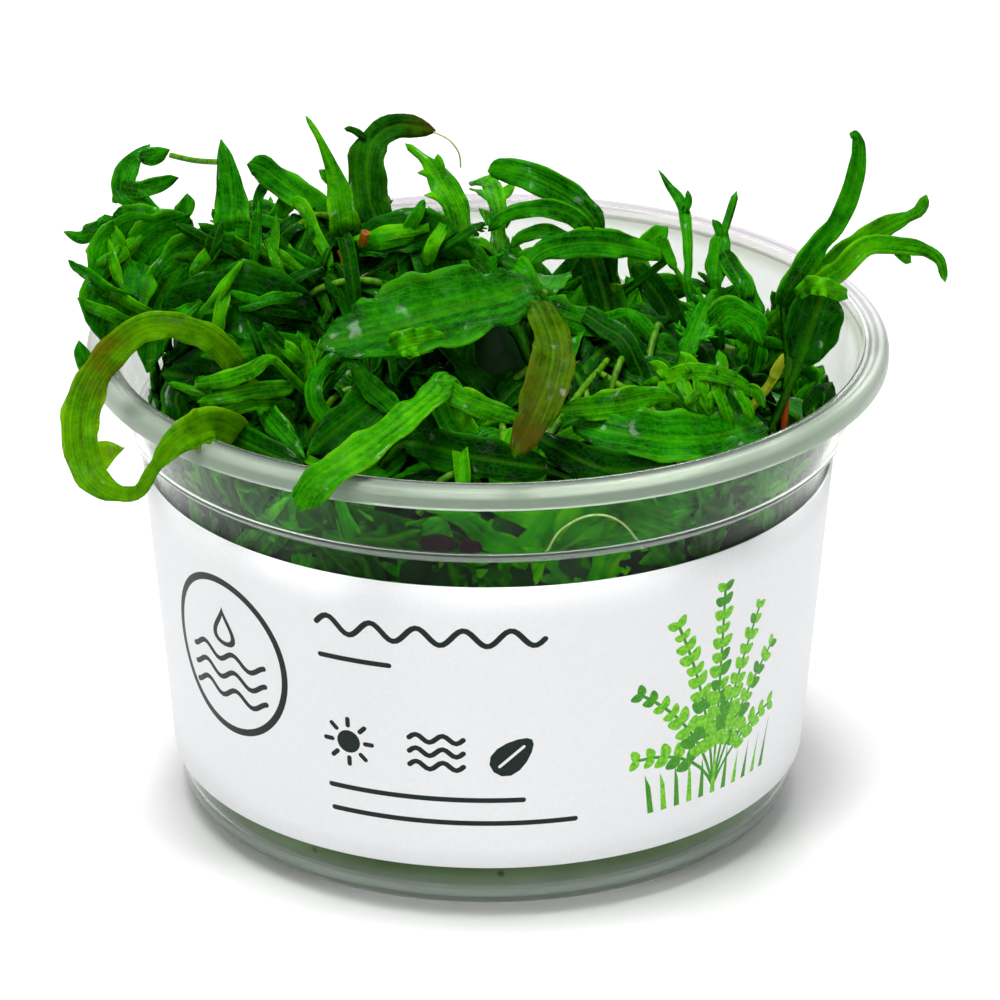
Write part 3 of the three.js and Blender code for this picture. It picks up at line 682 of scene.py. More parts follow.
def growLeaf(leaf, points, bladeStart, seed, grid=None):
    # One closed blade: vertices in metres, faces and places for the UV map
    draw = random.Random(seed)
    length = curveLength(points, bladeStart, 1.0)
    stalk = curveLength(points, 0.0, bladeStart) if bladeStart > 0 else 0.0
    outlines = leafOutlines(leaf, length, draw)
    if stalk:
        strip = leafForm["stalk"]
        corners = ((-stalk, -strip), (1.0, -strip), (1.0, strip), (-stalk, strip))
        outlines.append([Vector(corner) for corner in corners])
    flat, faces = [], []
    for outline in outlines:
        faces.append(list(range(len(flat), len(flat) + len(outline))))
        flat += outline
    cell = grid or leafForm["grid"]
    half = leaf["width"] / 2
    spurReach = max([half] + [spur[2] for spur in leaf.get("spurs", ())])
    acrossSteps = int(spurReach / cell) + 1
    for i in range(int(-stalk / cell) - 1, int(length / cell) + 2):
        for j in range(-acrossSteps, acrossSteps + 1):
            if i * cell < 0 and abs(j) > 0:
                continue
            flat.append(Vector((i * cell + 0.013, j * cell)))
    places, _, triangles, _, _, _ = geometry.delaunay_2d_cdt(flat, [], faces, 1, 1e-4)
    used = sorted({v for t in triangles for v in t})
    index = {v: k for k, v in enumerate(used)}
    triangles = [[index[v] for v in t] for t in triangles]
    places = [places[v] for v in used]
    edges = {}
    for a, b, c in triangles:
        for pair in ((a, b), (b, c), (c, a)):
            edges[pair] = edges.get(pair, 0) + 1
    rim = [(a, b) for a, b in edges if (b, a) not in edges]
    onRim = {v for pair in rim for v in pair}
    face = Vector(leaf.get("face", toViewer)).normalized()
    phase, turn = draw.uniform(0, 6), draw.uniform(-1, 1)
    top, under, uvs = [], [], []
    for k, place in enumerate(places):
        a, c = place
        s = a / length
        t = bladeStart + (1 - bladeStart) * s if a >= 0 else bladeStart * (1 + a / max(stalk, 1e-6))
        point, along = curvePoint(points, t)
        past = max(0.0, a - length)
        side = along.cross(face).normalized()
        out = side.cross(along).normalized()
        lean = leafForm["twist"] * turn * sin(pi * max(0, s) * 1.5)
        side, out = side * cos(lean) + out * sin(lean), out * cos(lean) - side * sin(lean)
        roll = leaf.get("curl", leafForm["roll"] * half)
        share = min(1.3, abs(c) / half)
        way = 1 if c > 0 else -1
        lift = roll * (1 - cos(c / roll))
        lift += leafForm["ripple"] * leaf.get("ruffle", 1.0) * share ** 1.6 * sin(
            2 * pi * a / leaf.get("rippleLength", leafForm["rippleLength"]) + phase + way * turn)
        lift -= leafForm["midrib"] * exp(-(c / 0.35) ** 2) * (1 if a > 0 else 0)
        puffed = cos(2 * pi * (a / 1.5 - 1.4 * share)) * min(1, share * 2)   # the lamina swells between its veins
        lift += leaf.get("quilt", leafForm["quilt"]) * puffed * (1 - share * 0.7)
        centre = point + along * past + side * roll * sin(c / roll) + out * lift
        thick = (leafForm["edge"] if k in onRim else leafForm["thickness"] + 0.25 * exp(-(c / 0.4) ** 2)) / 2
        top.append((centre + out * thick) * mm)
        under.append((centre - out * thick) * mm)
        uvs.append((0.5 + c / (2 * half), (a + stalk) / (length + stalk)))
    count = len(places)
    shell = [(c, b, a) for a, b, c in triangles] + [(a + count, b + count, c + count) for a, b, c in triangles]
    shell += [(a, b, b + count) for a, b in rim] + [(a, b + count, a + count) for a, b in rim]
    return top + under, shell, uvs + uvs


# Stems and the leaves that stand out of the heap, in mm: near the solids, and fitted to the photo
stems = {
    "stem_left_back": {"path": [(-15, 4, 9.4), (-19, 3, 35), (-24, 0, 56)]},
    "stem_left_front": {"path": [(-14, -12, 9.4), (-19, -13, 32), (-22, -15, 49)]},
    "stem_centre_left": {"path": [(-6, 0, 9.4), (-10, -2, 35), (-13, -3, 56)]},
    "stem_centre": {"path": [(4, -4, 9.4), (4, -6, 35), (4, -8, 56)]},
    "stem_back": {"path": [(8, 9, 9.4), (10.8, 7.5, 32), (13, 6, 52)]},
    "stem_right": {"path": [(18, -2, 9.4), (21, -1, 32), (24, 1, 47)]},
    "stem_right_ripe": {"path": [(22, -7, 9.4), (28.2, -8.6, 32), (29.8, -6.8, 49)], "finish": "ripe"},
}
stemForm = {"radius": 0.78, "ripeRadius": 0.36, "sides": 16}
threads = {   # the cut orange end and the reddish stalk, then the pale threads and the strand at the top left
    "cut_stem_end": {"path": [(-12.2, -7.4, 61.3), (-12.1, -7.7, 61.9), (-11.9, -7.9, 62.6)], "radius": 0.45,
                     "sides": 14, "tissue": "cut", "on": "stem_centre_left"},
    "reddened_stalk": {"path": [(-14.4, -7, 58), (-14.1, -7, 59.1), (-14.5, -6.5, 60.2)], "radius": 0.3,
                       "sides": 10, "tissue": "cut", "on": "leaf_centre_shade"},
    "pale_thread_front": {"path": [(5.5, -32.8, 39.6), (6.6, -33.2, 41.9), (8, -33.2, 43.1), (9.6, -33, 43.7),
                                   (11.3, -32.4, 43.4), (12.8, -31.8, 42.3), (13.9, -31, 40.6), (14.7, -29.7, 38.8)],
                          "radius": 0.11, "sides": 8, "tissue": "pale", "on": "leaf_tangle"},
    "pale_thread_tip": {"path": [(-5.4, 5.3, 68.2), (-3.9, 5, 67.5), (-2.9, 4.8, 66.2), (-2.7, 4.6, 64.7)],
                        "radius": 0.09, "sides": 6, "tissue": "pale", "on": "leaf_dark_arch"},
    "green_strand": {"path": [(-31.7, 7.3, 65), (-29.1, 5.5, 65.1), (-26.4, 2.6, 66)], "radius": 0.3, "sides": 8,
                     "tissue": "green", "on": "leaf_left_high"},
}
toViewer = (0, -1, 0.45)   # which way a leaf's upper face looks
overhead = (0, -0.6, 1)
leaves = {
    "leaf_left_loop": {"path": [(-24, -17, 52), (-26.6, -17.5, 55.2), (-29.8, -18, 56.8), (-33.1, -19, 57),
        (-36, -20.5, 55.1), (-38.3, -22.5, 52.2), (-39, -25, 48.9), (-38.1, -27.5, 45.8), (-36, -29, 44.4),
        (-33.4, -30.3, 44.7), (-31.4, -31, 47.8), (-29.5, -30.5, 50), (-27.7, -28, 50.2), (-25.6, -25, 49.4),
        (-23, -21, 46)], "width": 3.6, "tone": "turning", "spurs": ((0.485, -1, 4.6, 2.1, 1.1),),
        "profile": ((0, 0.7), (0.25, 0.8), (0.4, 1.05), (0.52, 0.95), (0.6, 0.42), (0.72, 0.36), (0.78, 0.75),
        (0.86, 1.1), (1, 0.9))},
    "leaf_left_curl": {"stem": "stem_left_back", "path": [(-37.2, 5, 58.8), (-38.4, 5.5, 58.2), (-39.7, 6, 57.3),
        (-40.9, 6.5, 56.6), (-42.7, 7, 57)], "width": 1.8, "tone": "fresh"},
    "leaf_left_broad": {"stem": "stem_left_back", "path": [(-33.2, -4, 60.8), (-35.8, -6, 60.4), (-36.2, -8.5, 58.9),
        (-36.4, -11, 56.2), (-36.3, -13, 52.5)], "width": 7.4, "face": (0.2, -1, 0), "tone": "fresh", "curl": 8.0,
        "profile": ((0, 0.6), (0.2, 0.85), (0.6, 1), (0.85, 1), (1, 0.8)), "branches": ((5.4, ((-26, -5, 60.5),
        (-30, -6.5, 58.5), (-32.6, -9, 54.5), (-33.2, -12, 49.5))), (5.2, ((-29, -3, 61.5), (-33, -4.5, 60),
        (-34.8, -7, 55.5), (-35, -10, 51))), (1.9, ((-38.4, -13, 49.5), (-39.3, -13, 51.2), (-39.8, -13, 53.2))))},
    "leaf_left_high": {"stem": "stem_left_back", "path": [(-31.5, 3, 59.3), (-34.1, 4, 60.8), (-36.3, 5.5, 62),
        (-35.8, 7, 64), (-33.7, 8.5, 65.8)], "width": 2.6, "tone": "fresh", "branches": ((1.6,
        ((-35.9, 5.5, 62.2), (-36.8, 5.6, 61.3), (-37.6, 5.8, 60.5))), (1.8, ((-36.5, 5.5, 62.4), (-34.7, 5, 62.2),
        (-32.7, 5, 62.8), (-30.8, 5.5, 63.3))), (1.8, ((-30.7, 3, 59.7), (-30, 3.5, 61.1), (-29.9, 4, 62.2))), (1.8,
        ((-34.7, 7.6, 64.6), (-33.3, 7.5, 64.9), (-31.8, 7.5, 65.5))), (4.8, ((-37.4, 2, 59.6), (-34.5, 1, 59.6),
        (-31.5, 0, 59.6), (-29, -1, 59.4))))},
    "leaf_left_point": {"stem": "stem_left_back", "path": [(-25.1, -1, 60), (-25.3, 0, 62.5), (-25.7, 1.5, 65.1),
        (-26.4, 3, 68.3)], "width": 3.4, "tone": "fresh",
        "profile": ((0, 1.2), (0.35, 1), (0.7, 0.62), (0.9, 0.4), (1, 0.2)), "branches": ((1.4,
        ((-25.7, -0.5, 60.5), (-26.7, 0, 61.3), (-27.2, 0, 62))),)},
    "leaf_left_arch": {"stem": "stem_centre_left", "path": [(-14.6, -1, 60), (-17.4, 0, 62.5), (-20.2, 1.5, 64.1),
        (-22.3, 2.4, 65.4), (-23.9, 2.8, 65.7)], "width": 2.8, "tone": "fresh", "curl": 7.0,
        "profile": ((0, 1.1), (0.5, 1), (0.8, 0.95), (0.92, 0.6), (1, 0.15)), "branches": ((1.5, ((-19.8, 1.5, 63.3),
        (-20.4, 1, 62), (-21.4, 0.5, 60.5), (-22.4, 0, 59.2))), (1.5, ((-17.4, 0, 61.7), (-18, -0.5, 60.6),
        (-19, -1, 59.6), (-20.2, -1.5, 58.6))), (1.2, ((-21.9, 2.6, 64), (-22.6, 2.2, 63), (-22.8, 1.2, 61.9),
        (-22.6, 0.5, 60.5))), (1.3, ((-24, 0.5, 60.9), (-22.4, 0, 60.9), (-20.2, -0.5, 60.4), (-18.6, -1, 60))))},
    "leaf_left_cross": {"path": [(-16, -7, 57), (-23, -7, 60.5), (-31, -8, 60)], "width": 7, "lobes": 3, "depth": 0.5,
        "tone": "mature"},
    "leaf_left_shade": {"path": [(-17, -11, 54), (-24, -12, 57), (-32, -12, 55)], "width": 7.5, "blunt": True,
        "tone": "deep"},
    "leaf_left_low": {"path": [(-14, -14, 51.5), (-21, -15, 53.5), (-28, -14, 52)], "width": 6, "lobes": 3,
        "depth": 0.5, "tone": "fresh"},
    "leaf_left_finger": {"path": [(-19, -13, 48.5), (-26, -13, 49), (-32, -11, 49)], "width": 5, "tone": "deep"},
    "leaf_left_fork": {"path": [(-20.4, -19, 53.6), (-22.9, -20, 52.9), (-25.5, -21, 52.4), (-28, -22, 52.4)],
        "width": 1.8, "blunt": True, "tone": "young", "branches": ((1.8, ((-18.9, -18, 50.4), (-21.8, -19.5, 50.8),
        (-24.6, -21, 50.8), (-27.8, -22.5, 50.8))), (1.5, ((-18.8, -18, 48.5), (-21.8, -19.5, 49.3),
        (-24.2, -21, 49.5), (-27.1, -22.5, 49.3))), (0.9, ((-27, -22, 51.2), (-28.7, -22.3, 52.1),
        (-30.6, -22.6, 52.8))), (1.6, ((-27.4, -21, 52.8), (-27.3, -21.2, 51.2), (-27, -21.4, 49.2))))},
    "leaf_left_strap": {"path": [(-22, -17, 48), (-20.5, -21, 48), (-17.5, -26, 46.5)], "width": 2.4,
        "tone": "fresh"},
    "leaf_left_front": {"path": [(-17, -28, 46), (-22, -25, 47), (-27, -19, 47)], "width": 3.2, "tone": "deep"},
    "leaf_spike": {"stem": "stem_centre_left", "path": [(-14, -3, 60.8), (-14.4, -2.5, 63.4), (-15.2, -1.5, 66.5),
        (-16.5, -0.5, 69.5), (-17.9, 0.5, 71.6)], "width": 2.8, "tone": "young", "profile": ((0, 1.1), (0.35, 0.95),
        (0.55, 0.45), (0.75, 0.24), (0.93, 0.2), (1, 0.3)), "branches": ((1.3,
        ((-15, -1.5, 65.4), (-15.8, -1.3, 66), (-16.6, -1.2, 66.6))),)},
    "leaf_dark_arch": {"stem": "stem_centre_left", "path": [(-11, 0, 59.6), (-11.7, 1.5, 62.4), (-11.9, 3, 65.6),
        (-11.1, 4.5, 67.9), (-8.7, 5.5, 68.8), (-5.2, 5.5, 68.2)], "width": 3.8, "tone": "bruised",
        "profile": ((0, 1), (0.45, 1), (0.62, 0.74), (0.85, 0.62), (0.96, 0.56), (1, 0.5)),
        "branches": ((0.8, ((-12.1, 4, 68), (-13.3, 4, 68.8), (-14.2, 4, 69.1))),)},
    "leaf_centre_back": {"path": [(-2.5, -3, 60.1), (-2.9, -2, 62.2), (-4.1, -0.5, 64.2), (-5.9, 1.5, 66.3),
        (-8.3, 3.5, 67.7)], "width": 4.2, "lobes": 3, "depth": 0.3, "tone": "young", "sweep": 1.2, "tail": 0.15},
    "leaf_back_swan": {"stem": "stem_back", "path": [(11.2, 4, 58.1), (10, 5.2, 59.8), (7.8, 6.5, 61.2),
        (4.7, 8, 62.3), (1.7, 9, 62.8), (-0.1, 9.3, 62.6)], "width": 3.1, "blunt": True, "tone": "fresh"},
    "leaf_back_fingers": {"stem": "stem_back", "path": [(17.6, 3, 55.3), (14.1, 2, 57.2), (10.1, 1, 58.1),
        (5.7, 0, 57.7), (3.2, -1, 55.7)], "width": 3, "tone": "fresh", "branches": ((1.9, ((10.7, 1.5, 58.2),
        (8.2, 2, 60.6), (4.7, 2, 61.4), (1.7, 2, 60.5), (0, 1.5, 59.1))), (1.6, ((8.7, 1.2, 58), (6, 1.5, 59),
        (3.7, 1.5, 58.7), (2.2, 1.2, 57.4))), (2.2, ((15.2, 2.5, 56.5), (16.6, 3, 57.8), (18, 4, 58.7))))},
    "leaf_back_strap_left": {"path": [(13.4, 1, 44), (11.9, 5, 50), (10.4, 8, 54.5)], "width": 4.2, "blunt": True,
        "tone": "deep"},
    "leaf_back_strap_right": {"stem": "stem_right", "path": [(19.6, 3, 47.4), (17.4, 4.5, 50.6), (14.6, 6, 54.1)],
        "width": 3.1, "blunt": True, "tone": "deep"},
    "leaf_right_spikes": {"stem": "stem_right", "path": [(20.1, 0, 53.2), (20, 1.5, 55.8), (19.8, 4, 58.1),
        (19.5, 6, 60), (18.3, 8, 61.3), (17, 9.5, 62.8)], "width": 1.2, "tone": "fresh",
        "branches": ((0.9, ((19.6, 5.5, 59.6), (20, 6, 60.6), (20, 6.5, 61.6))),
        (1.2, ((17.1, 3, 58), (17.9, 2.5, 56.5), (18.7, 1.5, 54.8))))},
    "leaf_right_spire": {"stem": "stem_right", "path": [(22.7, 0, 53.2), (22.8, 1, 55.4), (23.1, 3, 57.1),
        (23.9, 5, 58.8), (24.9, 7, 61.4)], "width": 2.6, "tone": "fresh", "tail": 0.3,
        "branches": ((1.0, ((23.4, 3.5, 57.4), (23, 4, 58.5), (22.4, 4.3, 59.3))), (2.1, ((23.5, 2, 56.7),
        (24.9, 0, 54.7), (26.2, -2, 53.2), (27.3, -3.5, 51.8))), (1.6,
        ((25.5, -2, 53.2), (25.7, -1.5, 54.2), (25.2, -1, 55.1))))},
    "leaf_right_feather": {"path": [(19.2, -12, 51.2), (20.3, -10, 53), (21.4, -8, 54.7), (22.4, -6, 56)], "width": 5,
        "lobes": 4, "depth": 0.6, "tone": "fresh", "teeth": True, "sweep": 1.2, "branches": ((3.2, ((22, -9, 53.3),
        (23.7, -8.5, 54.5), (25.9, -9, 53.6), (26.9, -10, 51.6))),)},
    "leaf_front_fan": {"path": [(15.3, -17, 50.1), (17.8, -18.5, 51.8), (20.6, -20, 52.9), (23.8, -21.5, 52.6),
        (26.2, -22, 51)], "width": 1.8, "tone": "young", "branches": ((1.3,
        ((17, -18, 51.4), (17.2, -20, 50.4), (18.1, -21.5, 48.7))), (1.3,
        ((18.6, -19, 52.2), (19.1, -20.6, 51), (20.1, -22, 49.5))), (1.4, ((20.2, -19.8, 52.7), (20.7, -21.4, 51.1),
        (21.8, -22.6, 48.9))), (1.4, ((21.9, -20.6, 52.9), (22.5, -22, 50.8), (23.6, -23, 48))), (1.3,
        ((23.5, -21.2, 52.5), (24.6, -22.2, 50.9), (25.5, -23, 48.8))), (1.2, ((24.7, -21.6, 51.8), (25.9, -22, 51.4),
        (26.6, -22.4, 50.1))), (1.2, ((17.4, -18.2, 51.5), (16.7, -17.4, 52.2), (15.5, -16.6, 52.5))), (1.3,
        ((19.9, -19.6, 52.7), (19.5, -19, 53.5), (18.5, -18.4, 54.3))), (1.3, ((22.3, -20.8, 52.9), (22.5, -20, 53.9),
        (22.2, -19.4, 54.9))), (0.9, ((20.5, -21, 51.4), (19.4, -21.8, 50.7), (19.1, -22.2, 50.2))), (0.9,
        ((22.1, -21.4, 51.6), (21.4, -22.2, 50.6), (21.5, -22.6, 49.8))), (0.9, ((17.1, -19.4, 50.6),
        (16.1, -20, 50.1), (15.8, -20.4, 49.5))))},
    "leaf_centre_large": {"path": [(4.6, -11, 58), (1.2, -14, 58.3), (-3.6, -17, 58.1), (-8.4, -19.5, 57.5),
        (-12.7, -21.5, 57), (-16.2, -22.5, 56.5)], "width": 9.2, "face": overhead, "tone": "mature", "quilt": 0.16,
        "ruffle": 1.6},
    "leaf_centre_shade": {"stem": "stem_centre_left", "path": [(-13, -6, 60), (-7, -6, 62), (-1, -8, 60)],
        "width": 4.5, "tone": "deep"},
    "leaf_brown_strap": {"stem": "stem_centre", "path": [(4.8, -20, 59.8), (6.2, -24, 57.3), (5.8, -28, 55.5),
        (4.5, -31, 53), (2.5, -33.3, 49.7)], "width": 4.4, "blunt": True, "tone": "olive"},
    "leaf_front_strap_left": {"path": [(-5.1, -25.5, 53.3), (-2.6, -26.5, 52.8), (0.2, -27.5, 52.1),
        (3.1, -28.3, 51.4)], "width": 2.4, "blunt": True, "tone": "young"},
    "leaf_front_strap_right": {"path": [(18, -21, 50.5), (12, -25, 51.5), (6.5, -27.5, 52)], "width": 3,
        "tone": "young"},
    "leaf_over_rim": {"path": [(-3.4, -24, 53.9), (-4.9, -26.5, 53.3), (-7.1, -29.5, 52.5), (-10.1, -33, 51.3),
        (-13.3, -36.2, 50.2), (-16.1, -38.6, 49), (-17.5, -39.6, 47)], "width": 3.8, "face": overhead,
        "tone": "young", "ruffle": 1.0, "profile": ((0, 0.5), (0.25, 0.85), (0.6, 1), (0.85, 0.9), (0.95, 0.7),
        (1, 0.4))},
    "leaf_front_under": {"path": [(-9, -20, 51), (-13, -26, 50.5), (-17, -31, 49)], "width": 4.2, "tone": "deep"},
    "leaf_curl_ring": {"path": [(-13.3, -19.5, 53.7), (-15.1, -20, 54.1), (-16.6, -21, 52.2), (-16.2, -22, 49.8),
        (-14.4, -22.6, 48.5), (-12.6, -22.4, 49.9), (-12.5, -21.6, 52.1)], "width": 1.9, "tone": "fresh"},
    "leaf_centre_short": {"path": [(-13.7, -20.5, 53.7), (-11.4, -22.5, 52.5), (-9.5, -24.5, 51.6),
        (-7.9, -26.5, 50.8)], "width": 2.4, "tone": "fresh"},
    "leaf_tall_right": {"stem": "stem_right_ripe", "path": [(29.2, -4.5, 53.6), (30.8, -4.3, 57), (32.3, -4.2, 59.5),
        (34.1, -4.1, 61.8), (35.5, -4, 65), (36.2, -3.8, 68.6), (36.1, -3.6, 70.7), (35.4, -3.5, 71.3)], "width": 2.2,
        "tone": "fresh", "profile": ((0, 1.1), (0.3, 1), (0.65, 0.85), (0.85, 0.5), (1, 0.45))},
    "leaf_right_branch": {"stem": "stem_right_ripe", "path": [(32.1, -2.5, 54.4), (34.6, -2, 57.8), (36.6, -1.5, 59),
        (38.8, -1, 60.2), (41, -0.5, 61.2), (42.7, 0, 61.9), (43.3, 0.3, 63.4)], "width": 2.3, "tone": "young",
        "profile": ((0, 1.2), (0.3, 0.9), (0.5, 1.1), (0.72, 0.5), (1, 0.55))},
    "leaf_right_hook": {"stem": "stem_right_ripe", "path": [(32.5, -5, 55.2), (34.8, -5, 57.7), (37.3, -4.8, 60),
        (40.5, -4.6, 59.9), (43, -4.5, 59.4), (44.5, -4.5, 58.2), (45.1, -4.5, 56)], "width": 2, "tone": "young",
        "profile": ((0, 1.3), (0.35, 1), (0.6, 0.8), (0.8, 0.55), (1, 0.35)), "branches": ((1.1,
        ((40, -4.6, 59.5), (41, -4.6, 58.6), (41.7, -4.6, 58.1))),)},
    "leaf_right_dark": {"path": [(30.7, -9, 49.4), (31.9, -7.5, 52.7), (33.1, -6, 56)], "width": 6.6, "blunt": True,
        "tone": "deep", "curl": 3.0},
    "leaf_right_yellow": {"path": [(27.5, -12, 48.1), (28.2, -11.8, 49.5), (28.9, -11.5, 51.3)], "width": 1.1,
        "tone": "yellowing"},
    "leaf_right_low": {"path": [(31.4, -9, 43.6), (32.7, -7, 44.4), (34.2, -4.5, 45.4)], "width": 3, "tone": "deep"},
    "leaf_front_wide": {"path": [(26.5, -20, 47.5), (21, -26, 48.5), (14.5, -28, 49.5), (8, -26, 50)], "width": 6,
        "face": overhead, "blunt": True, "tone": "fresh"},
    "leaf_front_low_left": {"path": [(-8, -26, 48), (-1, -29.5, 48), (6, -30, 47)], "width": 4.2, "blunt": True,
        "tone": "deep"},
    "leaf_front_low_right": {"path": [(18, -29, 46.8), (11, -30.5, 47.3), (4, -26, 49)], "width": 4, "tone": "deep"},
    "leaf_rear_left": {"path": [(-20, 10, 54), (-24, 16, 55), (-26, 22, 53), (-26, 27, 50)], "width": 7, "lobes": 3,
        "depth": 0.6, "face": overhead, "tone": "fresh"},
    "leaf_rear_low": {"path": [(-12, 10, 53), (-13, 18, 55), (-13, 25, 53), (-12, 31, 50)], "width": 6,
        "face": overhead, "blunt": True, "tone": "deep"},
    "leaf_rear_mid": {"path": [(-3, 8, 51), (-4, 14, 54), (-3, 20, 53), (-1, 27, 49)], "width": 8, "lobes": 4,
        "depth": 0.65, "face": overhead, "tone": "young"},
    "leaf_rear_right": {"path": [(4, 12, 46), (5, 18, 47), (6, 24, 45.5), (6, 29, 42)], "width": 6, "face": overhead,
        "blunt": True, "tone": "fresh"},
    "leaf_rear_side": {"path": [(-27, 8, 53), (-32, 13, 54), (-36, 17, 52)], "width": 6, "lobes": 3, "depth": 0.6,
        "face": overhead, "tone": "fresh"},
    "leaf_rear_shoot": {"path": [(1, 4, 54), (1, 10, 58), (0, 16, 59), (-2, 21, 57)], "width": 5, "lobes": 3,
        "depth": 0.6, "face": overhead, "tone": "young"},
    "leaf_rear_corner": {"path": [(21, 5, 43), (23, 9, 45.5), (25, 14, 45.5), (26, 18, 43)], "width": 6, "lobes": 3,
        "depth": 0.6, "face": overhead, "tone": "fresh"},
}

heap = {
    "level": 42,
    "mounds": (((-22, 1), 9, 16), ((-4, -4), 9, 15), ((17, -6), 8, 8), ((0, -26), 10, 3), ((17, 25), 13, -9),
               ((31, 4), 7, -4)),
    "edge": 32, "run": 0.18, "fall": 0.22,
}


def heapHeight(x, y):   # the top of the tangle, as the solid has it
    height = heap["level"]
    for (mx, my), spread, rise in heap["mounds"]:
        height += rise * exp(-((x - mx) ** 2 + (y - my) ** 2) / (2 * spread ** 2))
    return height + 1.2 * sin(x * 0.62 + 1) * cos(y * 0.55) + 0.6 * sin(x * 0.31 - y * 0.8)


stemUse = {}


def stalkFoot(leaf):
    first, second = Vector(leaf["path"][0]), Vector(leaf["path"][1])
    if "stem" in leaf:
        stemUse[leaf["stem"]] = stemUse.get(leaf["stem"], 0) + 1
        points = [Vector(p) for p in stems[leaf["stem"]]["path"]]
        return curvePoint(points, 1.01 - 0.03 * stemUse[leaf["stem"]])[0]
    back = first - second
    back.z = 0
    back = back.normalized() * heap["run"]
    back.z = -heap["fall"]
    foot = first.copy()
    while foot.z > heapHeight(foot.x, foot.y) and hypot(foot.x, foot.y) < heap["edge"]:
        foot += back
    return foot


def buildLeaves(tissues):
    for seed, (name, leaf) in enumerate(leaves.items()):
        foot = stalkFoot(leaf)
        points = [Vector(p) for p in leaf["path"]]
        stalked = (foot - points[0]).length > 1
        bladeStart = 1 / len(points) if stalked else 0.0
        if stalked:
            points = [foot] + points
        vertices, faces, uvs = growLeaf(leaf, points, bladeStart, seed + 11)
        for number, (width, path) in enumerate(leaf.get("branches", ())):   # lobes drawn one by one
            lobe = {"width": width, "profile": leafForm["lobeProfile"], "face": leaf.get("face", toViewer)}
            v, f, u = growLeaf(lobe, [Vector(p) for p in path], 0.0, seed * 20 + number, 0.45)
            faces += [tuple(n + len(vertices) for n in side) for side in f]
            vertices, uvs = vertices + v, uvs + u
        piece = newPiece(name.replace("leaf_", "blade_"), vertices, faces, [tissues[leaf["tone"]]], uvs=uvs)
        settle(piece, {"deep": "shaded_leaf", "olive": "old_leaf"}.get(leaf["tone"], "green_leaf"), name)


# Tangle: a core painted dark for the shade deep inside the heap, small leaves packed against the wall, and more on
# top of the heap
tangle = {
    "coreDrop": 2.6, "coreSide": 2.2, "spokes": 120, "reach": 33.2, "stalkReach": 32.5, "scrapReach": 34.2,
    "topLeaves": 200, "straps": 120, "wallLeaves": 190, "stalks": 46,
    "clearings": ((29.6, -8.5, 3.4), (1.7, -12.0, 2.6), (-14.5, -22, 2.5), (12.5, 2.0, 4.0), (-12, -4.5, 2.0),
                  (17.5, 2.5, 4.5)),
    "shaded": ((20.5, -12, 9), (-21, -16, 7), (1, -12, 6), (-17, -12, 7)),   # painted shade: places in the heap's shadow, where only dark leaves lie
}   # each place as x, y and a radius
loose = {   # small leaves, and narrow straps that arch over the rest
    "leaf": {"spread": 31, "length": (9, 18), "bend": 0.09, "low": (-1.6, -0.6), "arch": (0.6, 2.4), "steps": 4,
             "phase": 0.4, "gap": 0.8},
    "strap": {"spread": 29, "length": (9, 19), "bend": 0.12, "low": (-1.2, -1.2), "arch": (1.2, 4.2), "steps": 5,
              "phase": 0.3, "gap": 0.7},
}


packed = {   # leaves against the inside of the wall: heights in mm, sweeps and the front's ends in radians
    "low": (30, 39), "high": (41.5, 46.6), "sweep": 0.32, "inset": (0.9, 1.7), "front": (4.4, 5.35), "frontRoom": 0.7,
    "slanted": 0.3, "slantLow": (36, 43), "slantHigh": (38, 46), "slantSweep": (0.35, 0.5), "curl": 30.0,
    "ledgeFrom": 39.2, "ledgeRun": 1.6, "upperRadius": 34.9,
    "pressed": (   # two bright leaves at the left of the front, each with its width and path
        (3.0, [(-18.8, -27.7, 44.5), (-17.3, -28.7, 42.3), (-15.8, -29.2, 40.2), (-14.5, -28.9, 38.2)]),
        (3.6, [(-31, -12.8, 43.5), (-28.5, -17.6, 42.6), (-24.7, -22.5, 41.8)])),
}
scraps = ((-4.7, 41.1, 1.7, 1.1), (-1.6, 40.9, 1.1, 0.85))   # place along the ledge, height, half length, half height


def inClearing(points):
    return any(hypot(p.x - x, p.y - y) < radius for x, y, radius in tangle["clearings"] for p in points)


def shadedTone(point, tone):
    return "deep" if any(hypot(point.x - x, point.y - y) < radius for x, y, radius in tangle["shaded"]) else tone


def coreFoliage():   # painted shade: leaves deep in the heap, coloured near-black green for the shade they lie in; wet, broken up
    material, add, place = newMaterial("shadedLeafMass")
    stretch = add("Mapping", {"Vector": place, "Scale": (1.0, 1.0, 0.6)})
    cells = add("TexVoronoi", {"Vector": stretch, "Scale": 260.0})
    tint = add("ValToRGB", {"stops": [(0.0, "#0f4a0a"), (0.35, "#0a3408"), (0.8, "#041504")], "Fac": cells})
    relief = add("Bump", {"Height": cells, "Strength": 0.8, "Distance": 1.0 * mm})
    surface = add("BsdfPrincipled", {"Base Color": tint, "Roughness": 0.7, "Specular IOR Level": 0.12,
        "Normal": relief})
    add("OutputMaterial", {"Surface": surface})
    return material


